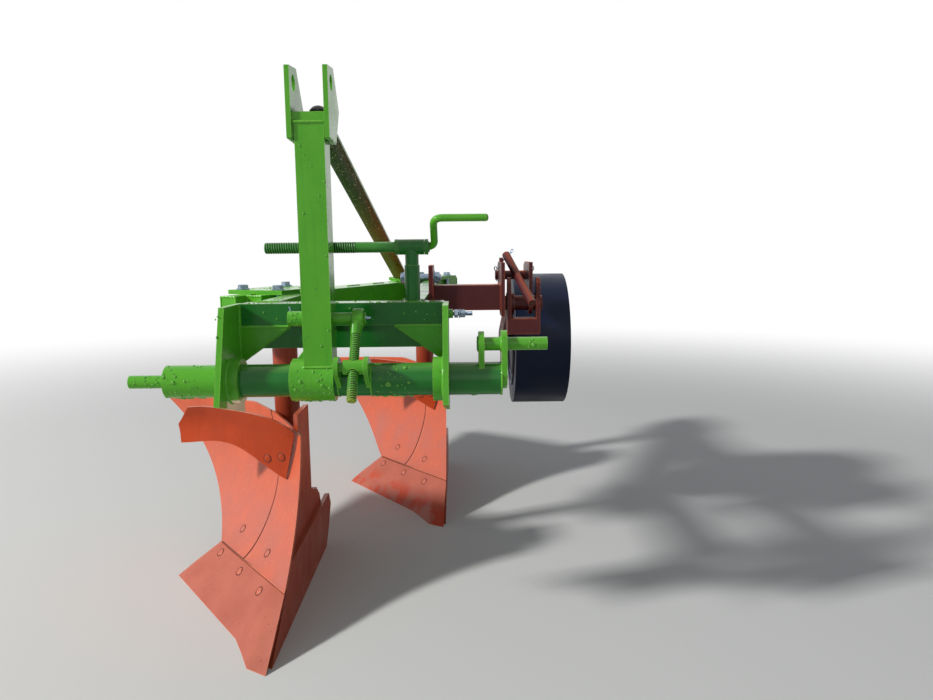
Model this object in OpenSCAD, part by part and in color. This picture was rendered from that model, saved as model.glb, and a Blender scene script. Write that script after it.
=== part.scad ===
// Two-furrow mounted moldboard plough with side-shift headstock, cranked cross shaft and depth wheel.
// X runs to the land side, Y to the rear, Z up from the ground. Lengths are in millimetres.

/* [Hitch] */
// Height of the cross shaft's axis above the ground
hitch_height = 618; // [560:1:700]
// Height of the top link pin above the cross shaft
mast_height = 610; // [560:1:680]
// Diameter of the cross shaft
shaft_d = 70; // [60:1:80]
// Distance from the mast to the shaft's left shoulder
shaft_left = 327; // [300:1:360]
// Distance from the mast to the outer crank cheek
shaft_right = 384; // [370:1:420]
// Diameter of the lower hitch pins
hitch_pin_d = 28; // [22:1:36]
// Free length of the left hitch pin, on the shaft's end
hitch_pin_l = 80; // [60:1:110]
// Free length of the right hitch pin, outside its cheek
crank_pin_l = 86; // [60:1:110]
// Height of the right hitch pin above the shaft
crank_rise = 74; // [70:1:90]
// Diameter of the top link hole
link_hole_d = 32; // [19:1:36]

/* [Mast] */
// Side of the square mast tube
mast_w = 60; // [50:1:70]
// Wall of the mast tube
mast_wall = 5; // [4:1:8]
// Height of the mast's closed top above the cross shaft
mast_top = 529; // [480:1:560]
// Outer diameter of the sleeve that carries the mast
sleeve_d = 88; // [84:1:100]
// Length of the sleeve
sleeve_l = 92; // [80:1:110]
// Clear gap between the two top link cheeks
cheek_gap = 66; // [62:1:76]
// Thickness of the top link cheeks
cheek_t = 10; // [8:1:12]

/* [Frame] */
// Height of the frame's top face above the ground
frame_top = 777; // [760:1:800]
// Height of the frame tubes
beam_h = 100; // [80:1:120]
// Width of one frame tube
beam_w = 50; // [40:1:60]
// Wall of the frame tubes
beam_wall = 6; // [4:1:8]
// Length of the main beam along its left tube
beam_l = 1290; // [1250:1:1400]
// Thickness of the side plates that carry the shaft
plate_t = 12; // [8:1:15]
// Outer face of the left side plate from the mast
plate_left = 201; // [190:1:215]
// Outer face of the right side plate from the mast
plate_right = 273; // [260:1:290]

/* [Bodies] */
// Distance between the two bodies across the direction of travel
furrow_w = 360; // [340:1:380]
// Distance between the two bodies along the direction of travel
body_pitch = 811; // [780:1:860]
// Thickness of the moldboards
board_t = 8; // [6:1:10]
// Height of the moldboards above the ground at the shin
board_top = 492; // [460:1:520]
// Height of the joint between share and moldboard
share_h = 105; // [95:1:115]
// Diameter of the legs
leg_d = 70; // [60:1:76]
// Height of the landsides
landside_h = 143; // [120:1:160]

/* [Wheel] */
// Diameter of the depth wheel
wheel_d = 420; // [380:1:450]
// Width of the depth wheel
wheel_w = 165; // [140:1:175]
// Length of the trailing arm from its pivot to the hub
swing_l = 400; // [370:1:420]
// Angle of the trailing arm below the horizontal as it is set
swing_rest = 21; // [15:1:30]

/* [Hidden] */
$fn = 48;

// Middle of the whole plough's ground plan, measured from the mast
plan_x = -12;
plan_y = 760.6;

// Clearances: seam between plates that are bolted up, seam behind a curved plate, running fit of a shaft,
// gap beside a turning piece
seam = 0.4;
back_seam = 1.2;
blade_seam = 2.4;
run_fit = 0.3;
side_gap = 1;

// Worked-out heights and places
shaft_r = shaft_d / 2;
top_link_z = hitch_height + mast_height;
mast_top_z = hitch_height + mast_top;
frame_bottom = frame_top - beam_h;
pin_r = hitch_pin_d / 2;
green = "limegreen";
orange = "tomato";
steel = "silver";
bare = "dimgray";

// Side plate outline and the shaft's collars
plate_front_top = -31;
plate_front_foot = -94;
plate_rear = 96;
collar_l = 22;
collar_d = shaft_d + 24;

// Front beam
front_y = 70;
front_d = 62;
proud_d = 8;

// Main beam: the middle of its joint line passes over both legs
leg_x = -204;
leg_y = 525;
beam_start = -192;
second_tube_setback = 40;
beam_angle = atan2(furrow_w, body_pitch);
function on_beam(along, across = 0) = [leg_x + along * sin(beam_angle) + across * cos(beam_angle),
    leg_y + along * cos(beam_angle) - across * sin(beam_angle)];
leg_pitch = body_pitch / cos(beam_angle);

// Clamps of the legs
clamp_t = 12;
clamp_l = 236;
clamp_bolt_d = 16;
clamp_bolt_across = 2 * beam_w + clamp_bolt_d + 1;
clamp_bolt_along = 187;
clamp_w = clamp_bolt_across + 61;

// Mast fittings
cheek_shift = -1.5;
cheek_left = cheek_shift - cheek_gap / 2;
cheek_right = cheek_shift + cheek_gap / 2;
cheek_foot = mast_top_z - 31;
link_hole_y = 3;
shelf_t = 6;
tongue_t = 10;
tongue_gap = 2;
shelf_z = mast_top_z + tongue_t + 2 * tongue_gap;
brace_pin_y = 78;
brace_pin_d = 25;
brace_pin_head_d = 38;
brace_slot = 6;
cross_pin_y = 8;
cross_pin_z = hitch_height + 131;
cross_pin_d = 24;
cross_pin_left = -66;
cross_pin_right = 98;

// Levelling screw and its trunnion
screw_x = 78;
screw_d = 20;
screw_l = 192;
screw_eye = [-8, 16];
trunnion_y = -58;
trunnion_z = hitch_height + 36;
trunnion_d = 31;
trunnion_l = 42;
trunnion_pin_d = 18;
screw_hole_d = screw_d + 5.2;
ear_t = 9;
ear_r = 22;
left_ear_gap = 9;
screw_tilt = atan2(cross_pin_y - trunnion_y, cross_pin_z - trunnion_z);

// Side-shift spindle
spindle_y = 97;
spindle_z = hitch_height + 280;
spindle_d = 24;
spindle_left = -132;
spindle_right = 232;
post_x = 192;
post_d = 34;
post_neck_d = 30;
post_neck_z = hitch_height + 240;
post_boss_l = 56;
nut_left = -45;
nut_l = 60;
nut_d = 40;

// Brace
brace_w = 50;
brace_h = 32;
brace_t = 6;
foot_along = 720;
foot_across = 8;
foot = on_beam(foot_along, foot_across);
foot_pad_t = 10;
foot_pin_d = 25;
brace_rear_z = frame_top + foot_pad_t + tongue_gap;
brace_front_z = mast_top_z + tongue_gap;

// Depth wheel
wheel_beam_y = 455;
wheel_beam_w = 60;
wheel_beam_h = 68;
wheel_beam_z = frame_bottom + 51;
pivot_y = 455;
pivot_z = 745;
pivot_d = 40;
bracket_x = 409;
bracket_t = 10;
fork_gap = 7;
fork_x = bracket_x + bracket_t + fork_gap;
fork_w = 88;
arm_t = 20;
bracket_right_x = fork_x + fork_w - 2 * bracket_t - fork_gap - 2;
wheel_gap = 20;
axle_stub = 9;
wheel_x = fork_x + arm_t + wheel_gap + wheel_w / 2;
hub_y = pivot_y + swing_l * cos(swing_rest);
hub_z = pivot_z - swing_l * sin(swing_rest);
link_right_x = 165;

// Puts the mast's frame into the part's own frame
module place() { translate([-plan_x, -plan_y, 0]) children(); }

// A rod along X from x1 to x2
module rod_x(d, x1, x2, y, z) { translate([x1, y, z]) rotate([0, 90, 0]) cylinder(d = d, h = x2 - x1); }

// A flat plate standing in the YZ plane, from x1, t thick
module plate_x(x1, t) { translate([x1, 0, 0]) rotate([90, 0, 90]) linear_extrude(t) children(); }

// A closed rectangular tube along +Y, its lower left front corner at the origin
module tube_y(w, h, l, wall) {
    difference() {
        cube([w, l, h]);
        translate([wall, wall, wall]) cube([w - 2 * wall, l - 2 * wall, h - 2 * wall]);
    }
}

// The frame of reference of the main beam: Y runs along it, X across, at the first leg
module along_beam() { translate([leg_x, leg_y, 0]) rotate([0, 0, -beam_angle]) children(); }

// Frame tubes and plates

module beam_tube_left() {
    color(green) place() along_beam() translate([-beam_w, beam_start, frame_bottom])
        tube_y(beam_w - seam / 2, beam_h, beam_l, beam_wall);
}

module beam_tube_right() {
    color(green) place() along_beam() translate([seam / 2, beam_start + second_tube_setback, frame_bottom])
        tube_y(beam_w - seam / 2, beam_h, beam_l - second_tube_setback, beam_wall);
}

front_left = -plate_left + plate_t;
front_right = plate_right - plate_t;

module front_beam() {
    color(green) place() {
        translate([front_left, front_y + proud_d, frame_bottom])
            cube([front_right - front_left, front_d - proud_d, beam_h / 2]);
        translate([front_left, front_y, frame_bottom + beam_h / 2])
            cube([front_right - front_left, front_d, beam_h / 2]);
    }
}

module side_plate_outline() {
    polygon([[plate_front_top, frame_top], [plate_front_foot, hitch_height - 37],
        [76, hitch_height - 84], [72, frame_bottom + 20], [plate_rear - 12, frame_bottom + 40],
        [plate_rear, frame_bottom + 55], [plate_rear, frame_top]]);
}

module side_plate(x1, collar_x) {
    difference() {
        union() {
            plate_x(x1, plate_t) side_plate_outline();
            rod_x(collar_d, collar_x, collar_x + collar_l, 0, hitch_height);
        }
        rod_x(shaft_d + 2 * run_fit, x1 - collar_l - 1, x1 + plate_t + collar_l + 1, 0, hitch_height);
    }
}

module side_plate_left() { color(green) place() side_plate(-plate_left, front_left); }

module side_plate_right() { color(green) place() side_plate(front_right, front_right - collar_l); }

// Triangular gussets under the crease of the front beam, one against each side plate
module corner_gusset() {
    linear_extrude(10) polygon([[0, 0], [110, 0], [0, 78]]);
}

module corner_gussets() {
    color(green) place() for (side = [0, 1])
        translate([[front_left, front_right][side], front_y + proud_d - seam, frame_top - beam_h / 2 - seam])
            mirror([side, 0, 0]) mirror([0, 0, 1]) rotate([90, 0, 0]) corner_gusset();
}

// Links between the front beam and the main beam: the left one ends in a slanted, closed end on the beam,
// the right one stops beside it and is held by two corner plates
link_left_x = -167;
link_left_l = 480;
link_left_hollow = 340;
link_right_l = 1073;
corner_plate_t = 12;

module link_left() {
    color(green) place() difference() {
        translate([link_left_x, front_y + front_d, frame_bottom]) difference() {
            cube([beam_w, link_left_l, beam_h]);
            translate([beam_wall, beam_wall, beam_wall])
                cube([beam_w - 2 * beam_wall, link_left_hollow, beam_h - 2 * beam_wall]);
        }
        along_beam() translate([-4 * beam_w, beam_start - 50, frame_bottom - 1])
            cube([5 * beam_w + seam, beam_l, beam_h + 2]);
    }
}

module link_right() {
    color(green) place() {
        translate([link_right_x, front_y + front_d, frame_bottom])
            tube_y(beam_w, beam_h, link_right_l, beam_wall);
        difference() {
            for (z = [frame_bottom + 10, frame_top - 10 - corner_plate_t]) along_beam()
                translate([beam_w + seam, 640, z]) linear_extrude(corner_plate_t)
                    polygon([[0, 0], [72, 0], [12, 130], [0, 130]]);
            translate([link_right_x, 0, frame_bottom - 1]) cube([beam_w, 2 * link_right_l, beam_h + 2]);
        }
    }
}

// Clamps that hold the legs against the beam

module clamp_plate(along) {
    translate([-clamp_w / 2, along - clamp_l / 2, frame_top]) difference() {
        cube([clamp_w, clamp_l, clamp_t]);
        for (sx = [-1, 1], sy = [-1, 1])
            translate([(clamp_w + sx * clamp_bolt_across) / 2, (clamp_l + sy * clamp_bolt_along) / 2, -1])
                cylinder(d = clamp_bolt_d + 1, h = clamp_t + 2);
    }
}

module clamp_plate_front() { color(green) place() along_beam() clamp_plate(0); }

module clamp_plate_rear() { color(green) place() along_beam() clamp_plate(leg_pitch); }

// Legs: a flange under the beam and a round tube down to the frog
leg_foot_z = 70;

module leg(along) {
    color(orange) place() along_beam() translate([0, along, 0]) {
        translate([-clamp_w / 2, -clamp_l / 2, frame_bottom - clamp_t]) difference() {
            cube([clamp_w, clamp_l, clamp_t]);
            for (sx = [-1, 1], sy = [-1, 1])
                translate([(clamp_w + sx * clamp_bolt_across) / 2, (clamp_l + sy * clamp_bolt_along) / 2, -1])
                    cylinder(d = clamp_bolt_d + 1, h = clamp_t + 2);
        }
        translate([0, 0, leg_foot_z]) cylinder(d = leg_d, h = frame_bottom - clamp_t - leg_foot_z);
    }
}

module leg_front() { leg(0); }

module leg_rear() { leg(leg_pitch); }

// Working surface of one body, in the body's frame: origin at the point, land side in the plane X = 0

function mix(a, b, t) = a + (b - a) * t;
function bezier(p, t) = pow(1 - t, 3) * p[0] + 3 * pow(1 - t, 2) * t * p[1]
    + 3 * (1 - t) * t * t * p[2] + pow(t, 3) * p[3];

wing_tip = [-372, 470, 0];
share_wing = [-257, 495, share_h - 13];
shin_foot = [0, 155, share_h];
tail_top = [-548, 905, 425];

// Land edge of the moldboard, its rear edge, and the share's cutting edge with its blunt nose
function land_edge(v) = bezier([shin_foot, [0, 290, 190], [0, 394, 300], [0, 388, board_top]], v);
function rear_edge(v) = bezier([share_wing, [-300, 640, 105], [-352, 870, 245], tail_top], v);
nose = [[0, 0, 0], [-50, 26, 0], [-80, 80, 0], [-120, 140, 0], wing_tip];
function nose_edge(u) = u < 0.1 ? mix(nose[0], nose[1], u / 0.1)
    : u < 0.2 ? mix(nose[1], nose[2], (u - 0.1) / 0.1)
    : u < 0.3 ? mix(nose[2], nose[3], (u - 0.2) / 0.1)
    : mix(nose[3], nose[4], (u - 0.3) / 0.7);

// A point of the board at u from land to wing and v from share to top, with a slight hollow
function board(u, v) = mix(land_edge(v), rear_edge(v), u) + [0, 34 * sin(180 * u) * v, 0];
function blade(u, v) = mix(nose_edge(u), mix(shin_foot, share_wing, u), v);

// Thickness measured along the direction of travel
function board_depth(v) = board_t * mix(2.75, 1.625, v);

// Closed shell between a front grid and the same grid moved back; rows run along v, columns along u
module shell(front, back) {
    rows = len(front);
    cols = len(front[0]);
    n = rows * cols;
    points = concat([for (row = front) for (p = row) p], [for (row = back) for (p = row) p]);
    function at(r, c) = r * cols + c;
    faces = concat(
        [for (r = [0:rows - 2], c = [0:cols - 2]) each [[at(r, c), at(r, c + 1), at(r + 1, c + 1)],
            [at(r, c), at(r + 1, c + 1), at(r + 1, c)]]],
        [for (r = [0:rows - 2], c = [0:cols - 2]) each [
            [n + at(r, c), n + at(r + 1, c + 1), n + at(r, c + 1)],
            [n + at(r, c), n + at(r + 1, c), n + at(r + 1, c + 1)]]],
        [for (c = [0:cols - 2]) each [[at(0, c), n + at(0, c), n + at(0, c + 1)],
            [at(0, c), n + at(0, c + 1), at(0, c + 1)]]],
        [for (c = [0:cols - 2]) each [[at(rows - 1, c), n + at(rows - 1, c + 1), n + at(rows - 1, c)],
            [at(rows - 1, c), at(rows - 1, c + 1), n + at(rows - 1, c + 1)]]],
        [for (r = [0:rows - 2]) each [[at(r, 0), n + at(r + 1, 0), n + at(r, 0)],
            [at(r, 0), at(r + 1, 0), n + at(r + 1, 0)]]],
        [for (r = [0:rows - 2]) each [[at(r, cols - 1), n + at(r, cols - 1), n + at(r + 1, cols - 1)],
            [at(r, cols - 1), n + at(r + 1, cols - 1), at(r + 1, cols - 1)]]]);
    polyhedron(points, faces);
}

// Seam between shin and moldboard, as a share of the width
function seam_u(v) = mix(0.62, 0.2, min(1, v / 0.55));

module at_body(k) {
    place() translate([leg_x + 88 + k * furrow_w, leg_y - 623 + k * body_pitch, 0]) children();
}

share_rows = 4;
board_rows = 14;

module share() {
    us = [0, 0.1, 0.2, 0.3, 0.44, 0.58, 0.72, 0.86, 1];
    front = [for (r = [0:share_rows]) [for (u = us) blade(u, r / share_rows * 0.996)]];
    back = [for (row = front) [for (p = row) p + [0, board_depth(0), 0]]];
    shell(front, back);
}

function patch(v0, v1, u0, u1, rows, cols) = [for (r = [0:rows]) let (v = mix(v0, v1, r / rows))
    [for (c = [0:cols]) board(mix(u0, u1, c / cols), v)]];
function strip(v0, v1, rows, cols, side) = [for (r = [0:rows]) let (v = mix(v0, v1, r / rows),
    s = seam_u(v), u0 = side == 0 ? 0 : s + 0.0015, u1 = side == 0 ? s - 0.0015 : 1)
    [for (c = [0:cols]) board(mix(u0, u1, c / cols), v) + [0, 0, v == v0 ? seam : 0]]];
function thicken(rows, v0, v1) = [for (r = [0:len(rows) - 1]) let (v = mix(v0, v1, r / (len(rows) - 1)))
    [for (p = rows[r]) p + [0, board_depth(v), 0]]];

module shin() {
    front = strip(0, 1, board_rows, 5, 0);
    shell(front, thicken(front, 0, 1));
}

module moldboard() {
    front = strip(0, 1, board_rows, 12, 1);
    shell(front, thicken(front, 0, 1));
}

// Trashboard: lies on the board's upper land corner and stands off it towards its free end
trash_foot = [[-48, 417, 298], [-138, 446, 352], [-202, 462, 384], [-270, 478, 388], [-345, 492, 381]];
trash_head = [[-17, 400.5, 425], [-88, 409, 466], [-170, 438, 478], [-245, 462, 484], [-318, 482, 480]];
function along_line(p, u) = let (n = len(p) - 1, k = min(n - 1, floor(u * n))) mix(p[k], p[k + 1], u * n - k);
trash_tip = 22;
function trash_point(u, w) = mix(along_line(trash_foot, u), along_line(trash_head, u), w)
    + [-trash_tip * max(0, 6 * u - 5) * (1 - abs(2 * w - 1)), 16 * sin(180 * w) * u, 0];

module trashboard() {
    rows = 6;
    cols = 12;
    front = [for (r = [0:rows]) [for (c = [0:cols]) trash_point(c / cols, r / rows) - [0, 10, 0]]];
    back = [for (row = front) [for (p = row) p + [0, 8, 0]]];
    shell(front, back);
}

module share_front() { color(orange) at_body(0) share(); }
module share_rear() { color(orange) at_body(1) share(); }
module shin_front() { color(orange) at_body(0) shin(); }
module shin_rear() { color(orange) at_body(1) shin(); }
module moldboard_front() { color(orange) at_body(0) moldboard(); }
module moldboard_rear() { color(orange) at_body(1) moldboard(); }
module trashboard_front() { color(orange) at_body(0) trashboard(); }
module trashboard_rear() { color(orange) at_body(1) trashboard(); }

// Back of the share, d inboard of the land side; the share's nose is straight there
nose_slope = -nose[1][0] / 0.1;
function blade_back(d, w) = blade(d / mix(nose_slope, -share_wing[0], w), w)
    + [0, board_depth(0) + blade_seam, 0];

// Back of the shin, d inboard of the land side
function board_back(d, v) = board(-d / rear_edge(v)[0], v) + [0, board_depth(v) + back_seam, 0];

// The same rows moved back to a rear profile given as height and distance from the point
function pushed(rows, profile) = [for (row = rows) [for (p = row) [p[0], lookup(p[2], profile), p[2]]]];

// Landside: a flat bar on the land side, cut to the backs of share and shin, its heel rounded up
landside_t = 14;
landside_heel = [[0, 675], [40, 716], [104, 765], [landside_h, 740]];
landside_v = (landside_h - share_h) / (3 * (190 - share_h));

module landside() {
    ds = [0, landside_t / 2, landside_t];
    front = concat([for (w = [0, 0.2, 0.4, 0.6, 0.8, 0.99]) [for (d = ds) blade_back(d, w)]],
        [for (v = [0.01, landside_v / 2, landside_v]) [for (d = ds) board_back(d, v)]]);
    shell(front, pushed(front, landside_heel));
}

module landside_front() { color(orange) at_body(0) landside(); }
module landside_rear() { color(orange) at_body(1) landside(); }

// Frog: an upright plate cut to the backs of share and shin, a saddle, a stay and the leg's socket
frog_t = 14;
leg_off_x = -88;
leg_off_y = 623;
frog_rear = [[0, 690], [120, 690], [190, 655], [215, 557], [500, 557]];
saddle_t = 12;
saddle_gap = 1.6;
stay_pad_t = 26;
stay_d = 26;
socket_wall = 12;
socket_z = 50;
socket_top = 200;

function frog_rows() = let (ds = [for (k = [0:2]) landside_t + frog_t * k / 2])
    concat([for (w = [0.12, 0.4, 0.7, 0.99]) [for (d = ds) blade_back(d, w)]],
        [for (r = [0:12]) let (v = 0.01 + 0.95 * r / 12) [for (d = ds) board_back(d, v)]]);

module saddle(u0, u1, v0, v1, t) {
    front = [for (r = [0:5]) [for (c = [0:5]) let (v = mix(v0, v1, r / 5))
        board(mix(u0, u1, c / 5), v) + [0, board_depth(v) + saddle_gap, 0]]];
    shell(front, [for (row = front) [for (p = row) p + [0, t, 0]]]);
}

module rod(d, a, b) {
    v = b - a;
    translate(a) rotate([0, acos(v[2] / norm(v)), atan2(v[1], v[0])]) cylinder(d = d, h = norm(v));
}

module frog() {
    difference() {
        union() {
            front = frog_rows();
            shell(front, pushed(front, frog_rear));
            saddle(0.1, 0.5, 0.04, 0.36, saddle_t);
            saddle(0.5, 0.72, 0.4, 0.6, stay_pad_t);
            translate([leg_off_x, leg_off_y, socket_z])
                cylinder(d = leg_d + 2 * socket_wall, h = socket_top - socket_z);
            translate([leg_off_x, leg_off_y - 12, 20])
                cube([-leg_off_x - landside_t - 1, 24, socket_top - 20]);
            rod(stay_d, [leg_off_x - 35, leg_off_y + 20, socket_top - 30],
                board(0.61, 0.5) + [0, board_depth(0.5) + saddle_gap + 16, 0]);
        }
        translate([leg_off_x, leg_off_y, leg_foot_z - seam])
            cylinder(d = leg_d + 2 * run_fit, h = socket_top);
    }
}

module frog_front() { color(orange) at_body(0) frog(); }
module frog_rear() { color(orange) at_body(1) frog(); }

// Side-shift gear on the frame

module spindle_post() {
    color(green) place() difference() {
        union() {
            translate([post_x, spindle_y, frame_top]) cylinder(d = post_d, h = post_neck_z - frame_top);
            translate([post_x, spindle_y, frame_top]) cylinder(d = post_neck_d, h = spindle_z - frame_top);
            rod_x(post_d, post_x - post_boss_l / 2, post_x + post_boss_l / 2, spindle_y, spindle_z);
        }
        rod_x(spindle_d + 2 * run_fit, post_x - post_boss_l, post_x + post_boss_l, spindle_y, spindle_z);
    }
}

module shift_spindle() {
    color(steel) place() {
        rod_x(spindle_d, spindle_left, spindle_right, spindle_y, spindle_z);
        for (x = [post_x - post_boss_l / 2 - side_gap - 8, post_x + post_boss_l / 2 + side_gap])
            rod_x(spindle_d + 10, x, x + 8, spindle_y, spindle_z);
    }
}

// Crank handle: a cranked round bar with rounded elbows, fixed on the spindle's end
crank_d = 16;
crank_reach = [0, -70, 60];
grip_l = 116;

module crank_bar() {
    hull() {
        sphere(d = crank_d, $fn = 24);
        translate(crank_reach) sphere(d = crank_d, $fn = 24);
    }
    translate(crank_reach) {
        rotate([0, 90, 0]) cylinder(d = crank_d, h = grip_l);
        translate([grip_l, 0, 0]) sphere(d = crank_d, $fn = 24);
    }
}

module shift_crank() {
    color(green) place() translate([spindle_right + crank_d / 2 + 0.2, spindle_y, spindle_z]) crank_bar();
}

// Foot of the brace on the main beam: a pad and a headed pin
foot_pad = [80, 70];

module brace_foot() {
    color(green) place() translate([foot[0], foot[1], 0]) rotate([0, 0, -beam_angle]) {
        translate([-foot_pad[0] / 2, -foot_pad[1] / 2, frame_top])
            cube([foot_pad[0], foot_pad[1], foot_pad_t]);
        translate([0, 0, frame_top + foot_pad_t - 1])
            cylinder(d = foot_pin_d, h = 1 + tongue_t + 2 * tongue_gap + 1);
        translate([0, 0, frame_top + foot_pad_t + tongue_t + 2 * tongue_gap]) cylinder(d = 44, h = 12);
    }
}

// Depth wheel's cross beam, clamped round the right link by two plates
clamp_plate_x = link_right_x + beam_w;
wheel_clamp_t = 12;
wheel_clamp_y = [400, 510];
wheel_clamp_z = [frame_bottom - 29, frame_top + 73];
wheel_bolt_d = 16;
wheel_bolts = [[425, frame_top + 40], [485, frame_top + 40],
    [418, frame_bottom - 11], [492, frame_bottom - 11]];

module wheel_clamp_plate(x) {
    plate_x(x, wheel_clamp_t) difference() {
        translate([wheel_clamp_y[0], wheel_clamp_z[0]])
            square([wheel_clamp_y[1] - wheel_clamp_y[0], wheel_clamp_z[1] - wheel_clamp_z[0]]);
        for (p = wheel_bolts) translate(p) circle(d = wheel_bolt_d + 1);
    }
}

module wheel_beam() {
    color(orange) place() {
        wheel_clamp_plate(clamp_plate_x + seam);
        wheel_clamp_plate(link_right_x - wheel_clamp_t - seam);
        translate([clamp_plate_x + wheel_clamp_t, wheel_beam_y - wheel_beam_w / 2, wheel_beam_z]) {
            l = bracket_x - clamp_plate_x - wheel_clamp_t - seam;
            difference() {
                cube([l, wheel_beam_w, wheel_beam_h]);
                translate([6, 6, 6]) cube([l - 12, wheel_beam_w - 12, wheel_beam_h - 12]);
            }
        }
    }
}

// Bracket on the cross beam's end: two plates with the pivot's holes, a cross pin and a slanting stop rod
stop_pin_d = 26;
stop_pin = [573, 817];
stop_rod_d = 22;

module pivot_hole() { translate([pivot_y, pivot_z]) circle(d = pivot_d + 2 * run_fit); }

module bracket_left_outline() {
    difference() {
        polygon([[404, 712], [476, 712], [592, 796], [592, 846], [560, 856], [512, 856], [505, 868],
            [480, 868], [472, 856], [404, 856]]);
        pivot_hole();
    }
}

module bracket_right_outline() {
    difference() {
        union() {
            translate([pivot_y, pivot_z]) circle(r = 31);
            polygon([[pivot_y - 31, pivot_z], [pivot_y + 31, pivot_z], [592, 796], [592, 846], [560, 856],
                [pivot_y - 31, 856]]);
        }
        pivot_hole();
    }
}

module wheel_bracket() {
    color(orange) place() {
        plate_x(bracket_x, bracket_t) bracket_left_outline();
        plate_x(bracket_right_x, bracket_t) bracket_right_outline();
        rod_x(stop_pin_d, bracket_x - 8, bracket_right_x + bracket_t + 8, stop_pin[0], stop_pin[1]);
        rod(stop_rod_d, [428, 500, 876], [484, 330, 753]);
    }
}

// Headstock that slides across the frame

sleeve_left = -60;

module mast_sleeve() {
    color(green) place() difference() {
        rod_x(sleeve_d, sleeve_left, sleeve_left + sleeve_l, 0, hitch_height);
        rod_x(shaft_d + 2 * run_fit, sleeve_left - 1, sleeve_left + sleeve_l + 1, 0, hitch_height);
    }
}

gusset_t = 10;

module mast() {
    color(green) place() difference() {
        union() {
            translate([-mast_w / 2, -mast_w / 2, hitch_height]) cube([mast_w, mast_w, mast_top]);
            translate([cheek_left, -24, cheek_foot]) cube([cheek_gap, 48, mast_top_z - cheek_foot]);
            translate([-mast_w / 2, mast_w / 2 - 1, mast_top_z - shelf_t])
                cube([mast_w, brace_pin_y - mast_w / 2 + 31, shelf_t]);
            translate([0, gusset_t / 2, hitch_height]) rotate([90, 0, 0]) linear_extrude(gusset_t)
                polygon([[-mast_w / 2, 20], [-mast_w / 2, 70], [sleeve_left, 33], [sleeve_left, 20]]);
        }
        translate([-mast_w / 2 + mast_wall, -mast_w / 2 + mast_wall, hitch_height])
            cube([mast_w - 2 * mast_wall, mast_w - 2 * mast_wall, mast_top - mast_wall]);
        rod_x(sleeve_d + seam, -2 * mast_w, 2 * mast_w, 0, hitch_height);
        rod_x(cross_pin_d + 2 * run_fit, -mast_w, mast_w, cross_pin_y, cross_pin_z);
        translate([0, brace_pin_y, mast_top_z - 50]) cylinder(d = brace_pin_d + 2 * run_fit, h = 100);
    }
}

module cheek_outline() {
    difference() {
        polygon([[-34, cheek_foot], [-34, top_link_z + 27], [34, top_link_z + 35], [93, top_link_z - 42],
            [45, cheek_foot - 4]]);
        translate([link_hole_y, top_link_z]) circle(d = link_hole_d);
    }
}

module link_cheeks() {
    color(green) place() {
        for (x = [cheek_left - cheek_t, cheek_right]) plate_x(x, cheek_t) cheek_outline();
    }
}

// Block on the mast's top and the shelf behind it, welded in face to face between the cheeks
module link_shelf() {
    color(green) place() difference() {
        union() {
            translate([cheek_left, -28, mast_top_z + seam])
                cube([cheek_gap, 53, shelf_z + shelf_t - mast_top_z - seam]);
            translate([cheek_left, 24, shelf_z]) cube([cheek_gap, brace_pin_y + 7, shelf_t]);
        }
        translate([0, brace_pin_y, shelf_z - 1]) cylinder(d = brace_pin_d + 2 * run_fit, h = shelf_t + 2);
    }
}

// Pin of the brace with its domed head
dome_h = 11;
dome_r = (pow(brace_pin_head_d / 2, 2) + dome_h * dome_h) / (2 * dome_h);

module brace_pin() {
    head_z = shelf_z + shelf_t + seam;
    head_l = 20;
    color(bare) place() translate([0, brace_pin_y, 0]) {
        translate([0, 0, mast_top_z - shelf_t - 14])
            cylinder(d = brace_pin_d, h = head_z - mast_top_z + shelf_t + 15);
        translate([0, 0, head_z]) cylinder(d = brace_pin_head_d, h = head_l);
        intersection() {
            translate([0, 0, head_z + head_l + dome_h - dome_r]) sphere(r = dome_r);
            translate([0, 0, head_z]) cylinder(d = brace_pin_head_d, h = head_l + dome_h + 1);
        }
    }
}

module cross_pin() {
    color(green) place() {
        rod_x(cross_pin_d, cross_pin_left, cross_pin_right, cross_pin_y, cross_pin_z);
        rod_x(32, cross_pin_left, -mast_w / 2 - 0.5, cross_pin_y, cross_pin_z);
    }
}

module levelling_screw() {
    color(steel) place() translate([screw_x, cross_pin_y, cross_pin_z]) {
        difference() {
            union() {
                rod_x(42, screw_eye[0], screw_eye[1], 0, 0);
                rotate([-screw_tilt, 0, 0]) translate([0, 0, -screw_l]) cylinder(d = screw_d, h = screw_l);
            }
            rod_x(cross_pin_d + 2 * run_fit, -screw_d, screw_d, 0, 0);
        }
    }
}

module spindle_nut() {
    color(green) place() difference() {
        union() {
            rod_x(nut_d, nut_left, nut_left + nut_l, spindle_y, spindle_z);
            translate([nut_left + 15, mast_w / 2, spindle_z - 15]) cube([40, spindle_y - mast_w / 2, 30]);
        }
        rod_x(spindle_d + 2 * run_fit, nut_left - 1, nut_left + nut_l + 1, spindle_y, spindle_z);
    }
}

// Cross shaft with its crank

module hitch_shaft() {
    color(green) place() {
        rod_x(shaft_d, -shaft_left, shaft_right, 0, hitch_height);
        rod_x(hitch_pin_d, -shaft_left - hitch_pin_l, -shaft_left + 1, 0, hitch_height);
    }
}

crank_z = hitch_height + crank_rise;
cheek_plate_t = 12;
inner_cheek_x = 336;
crank_seat_d = hitch_pin_d + 1;

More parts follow.
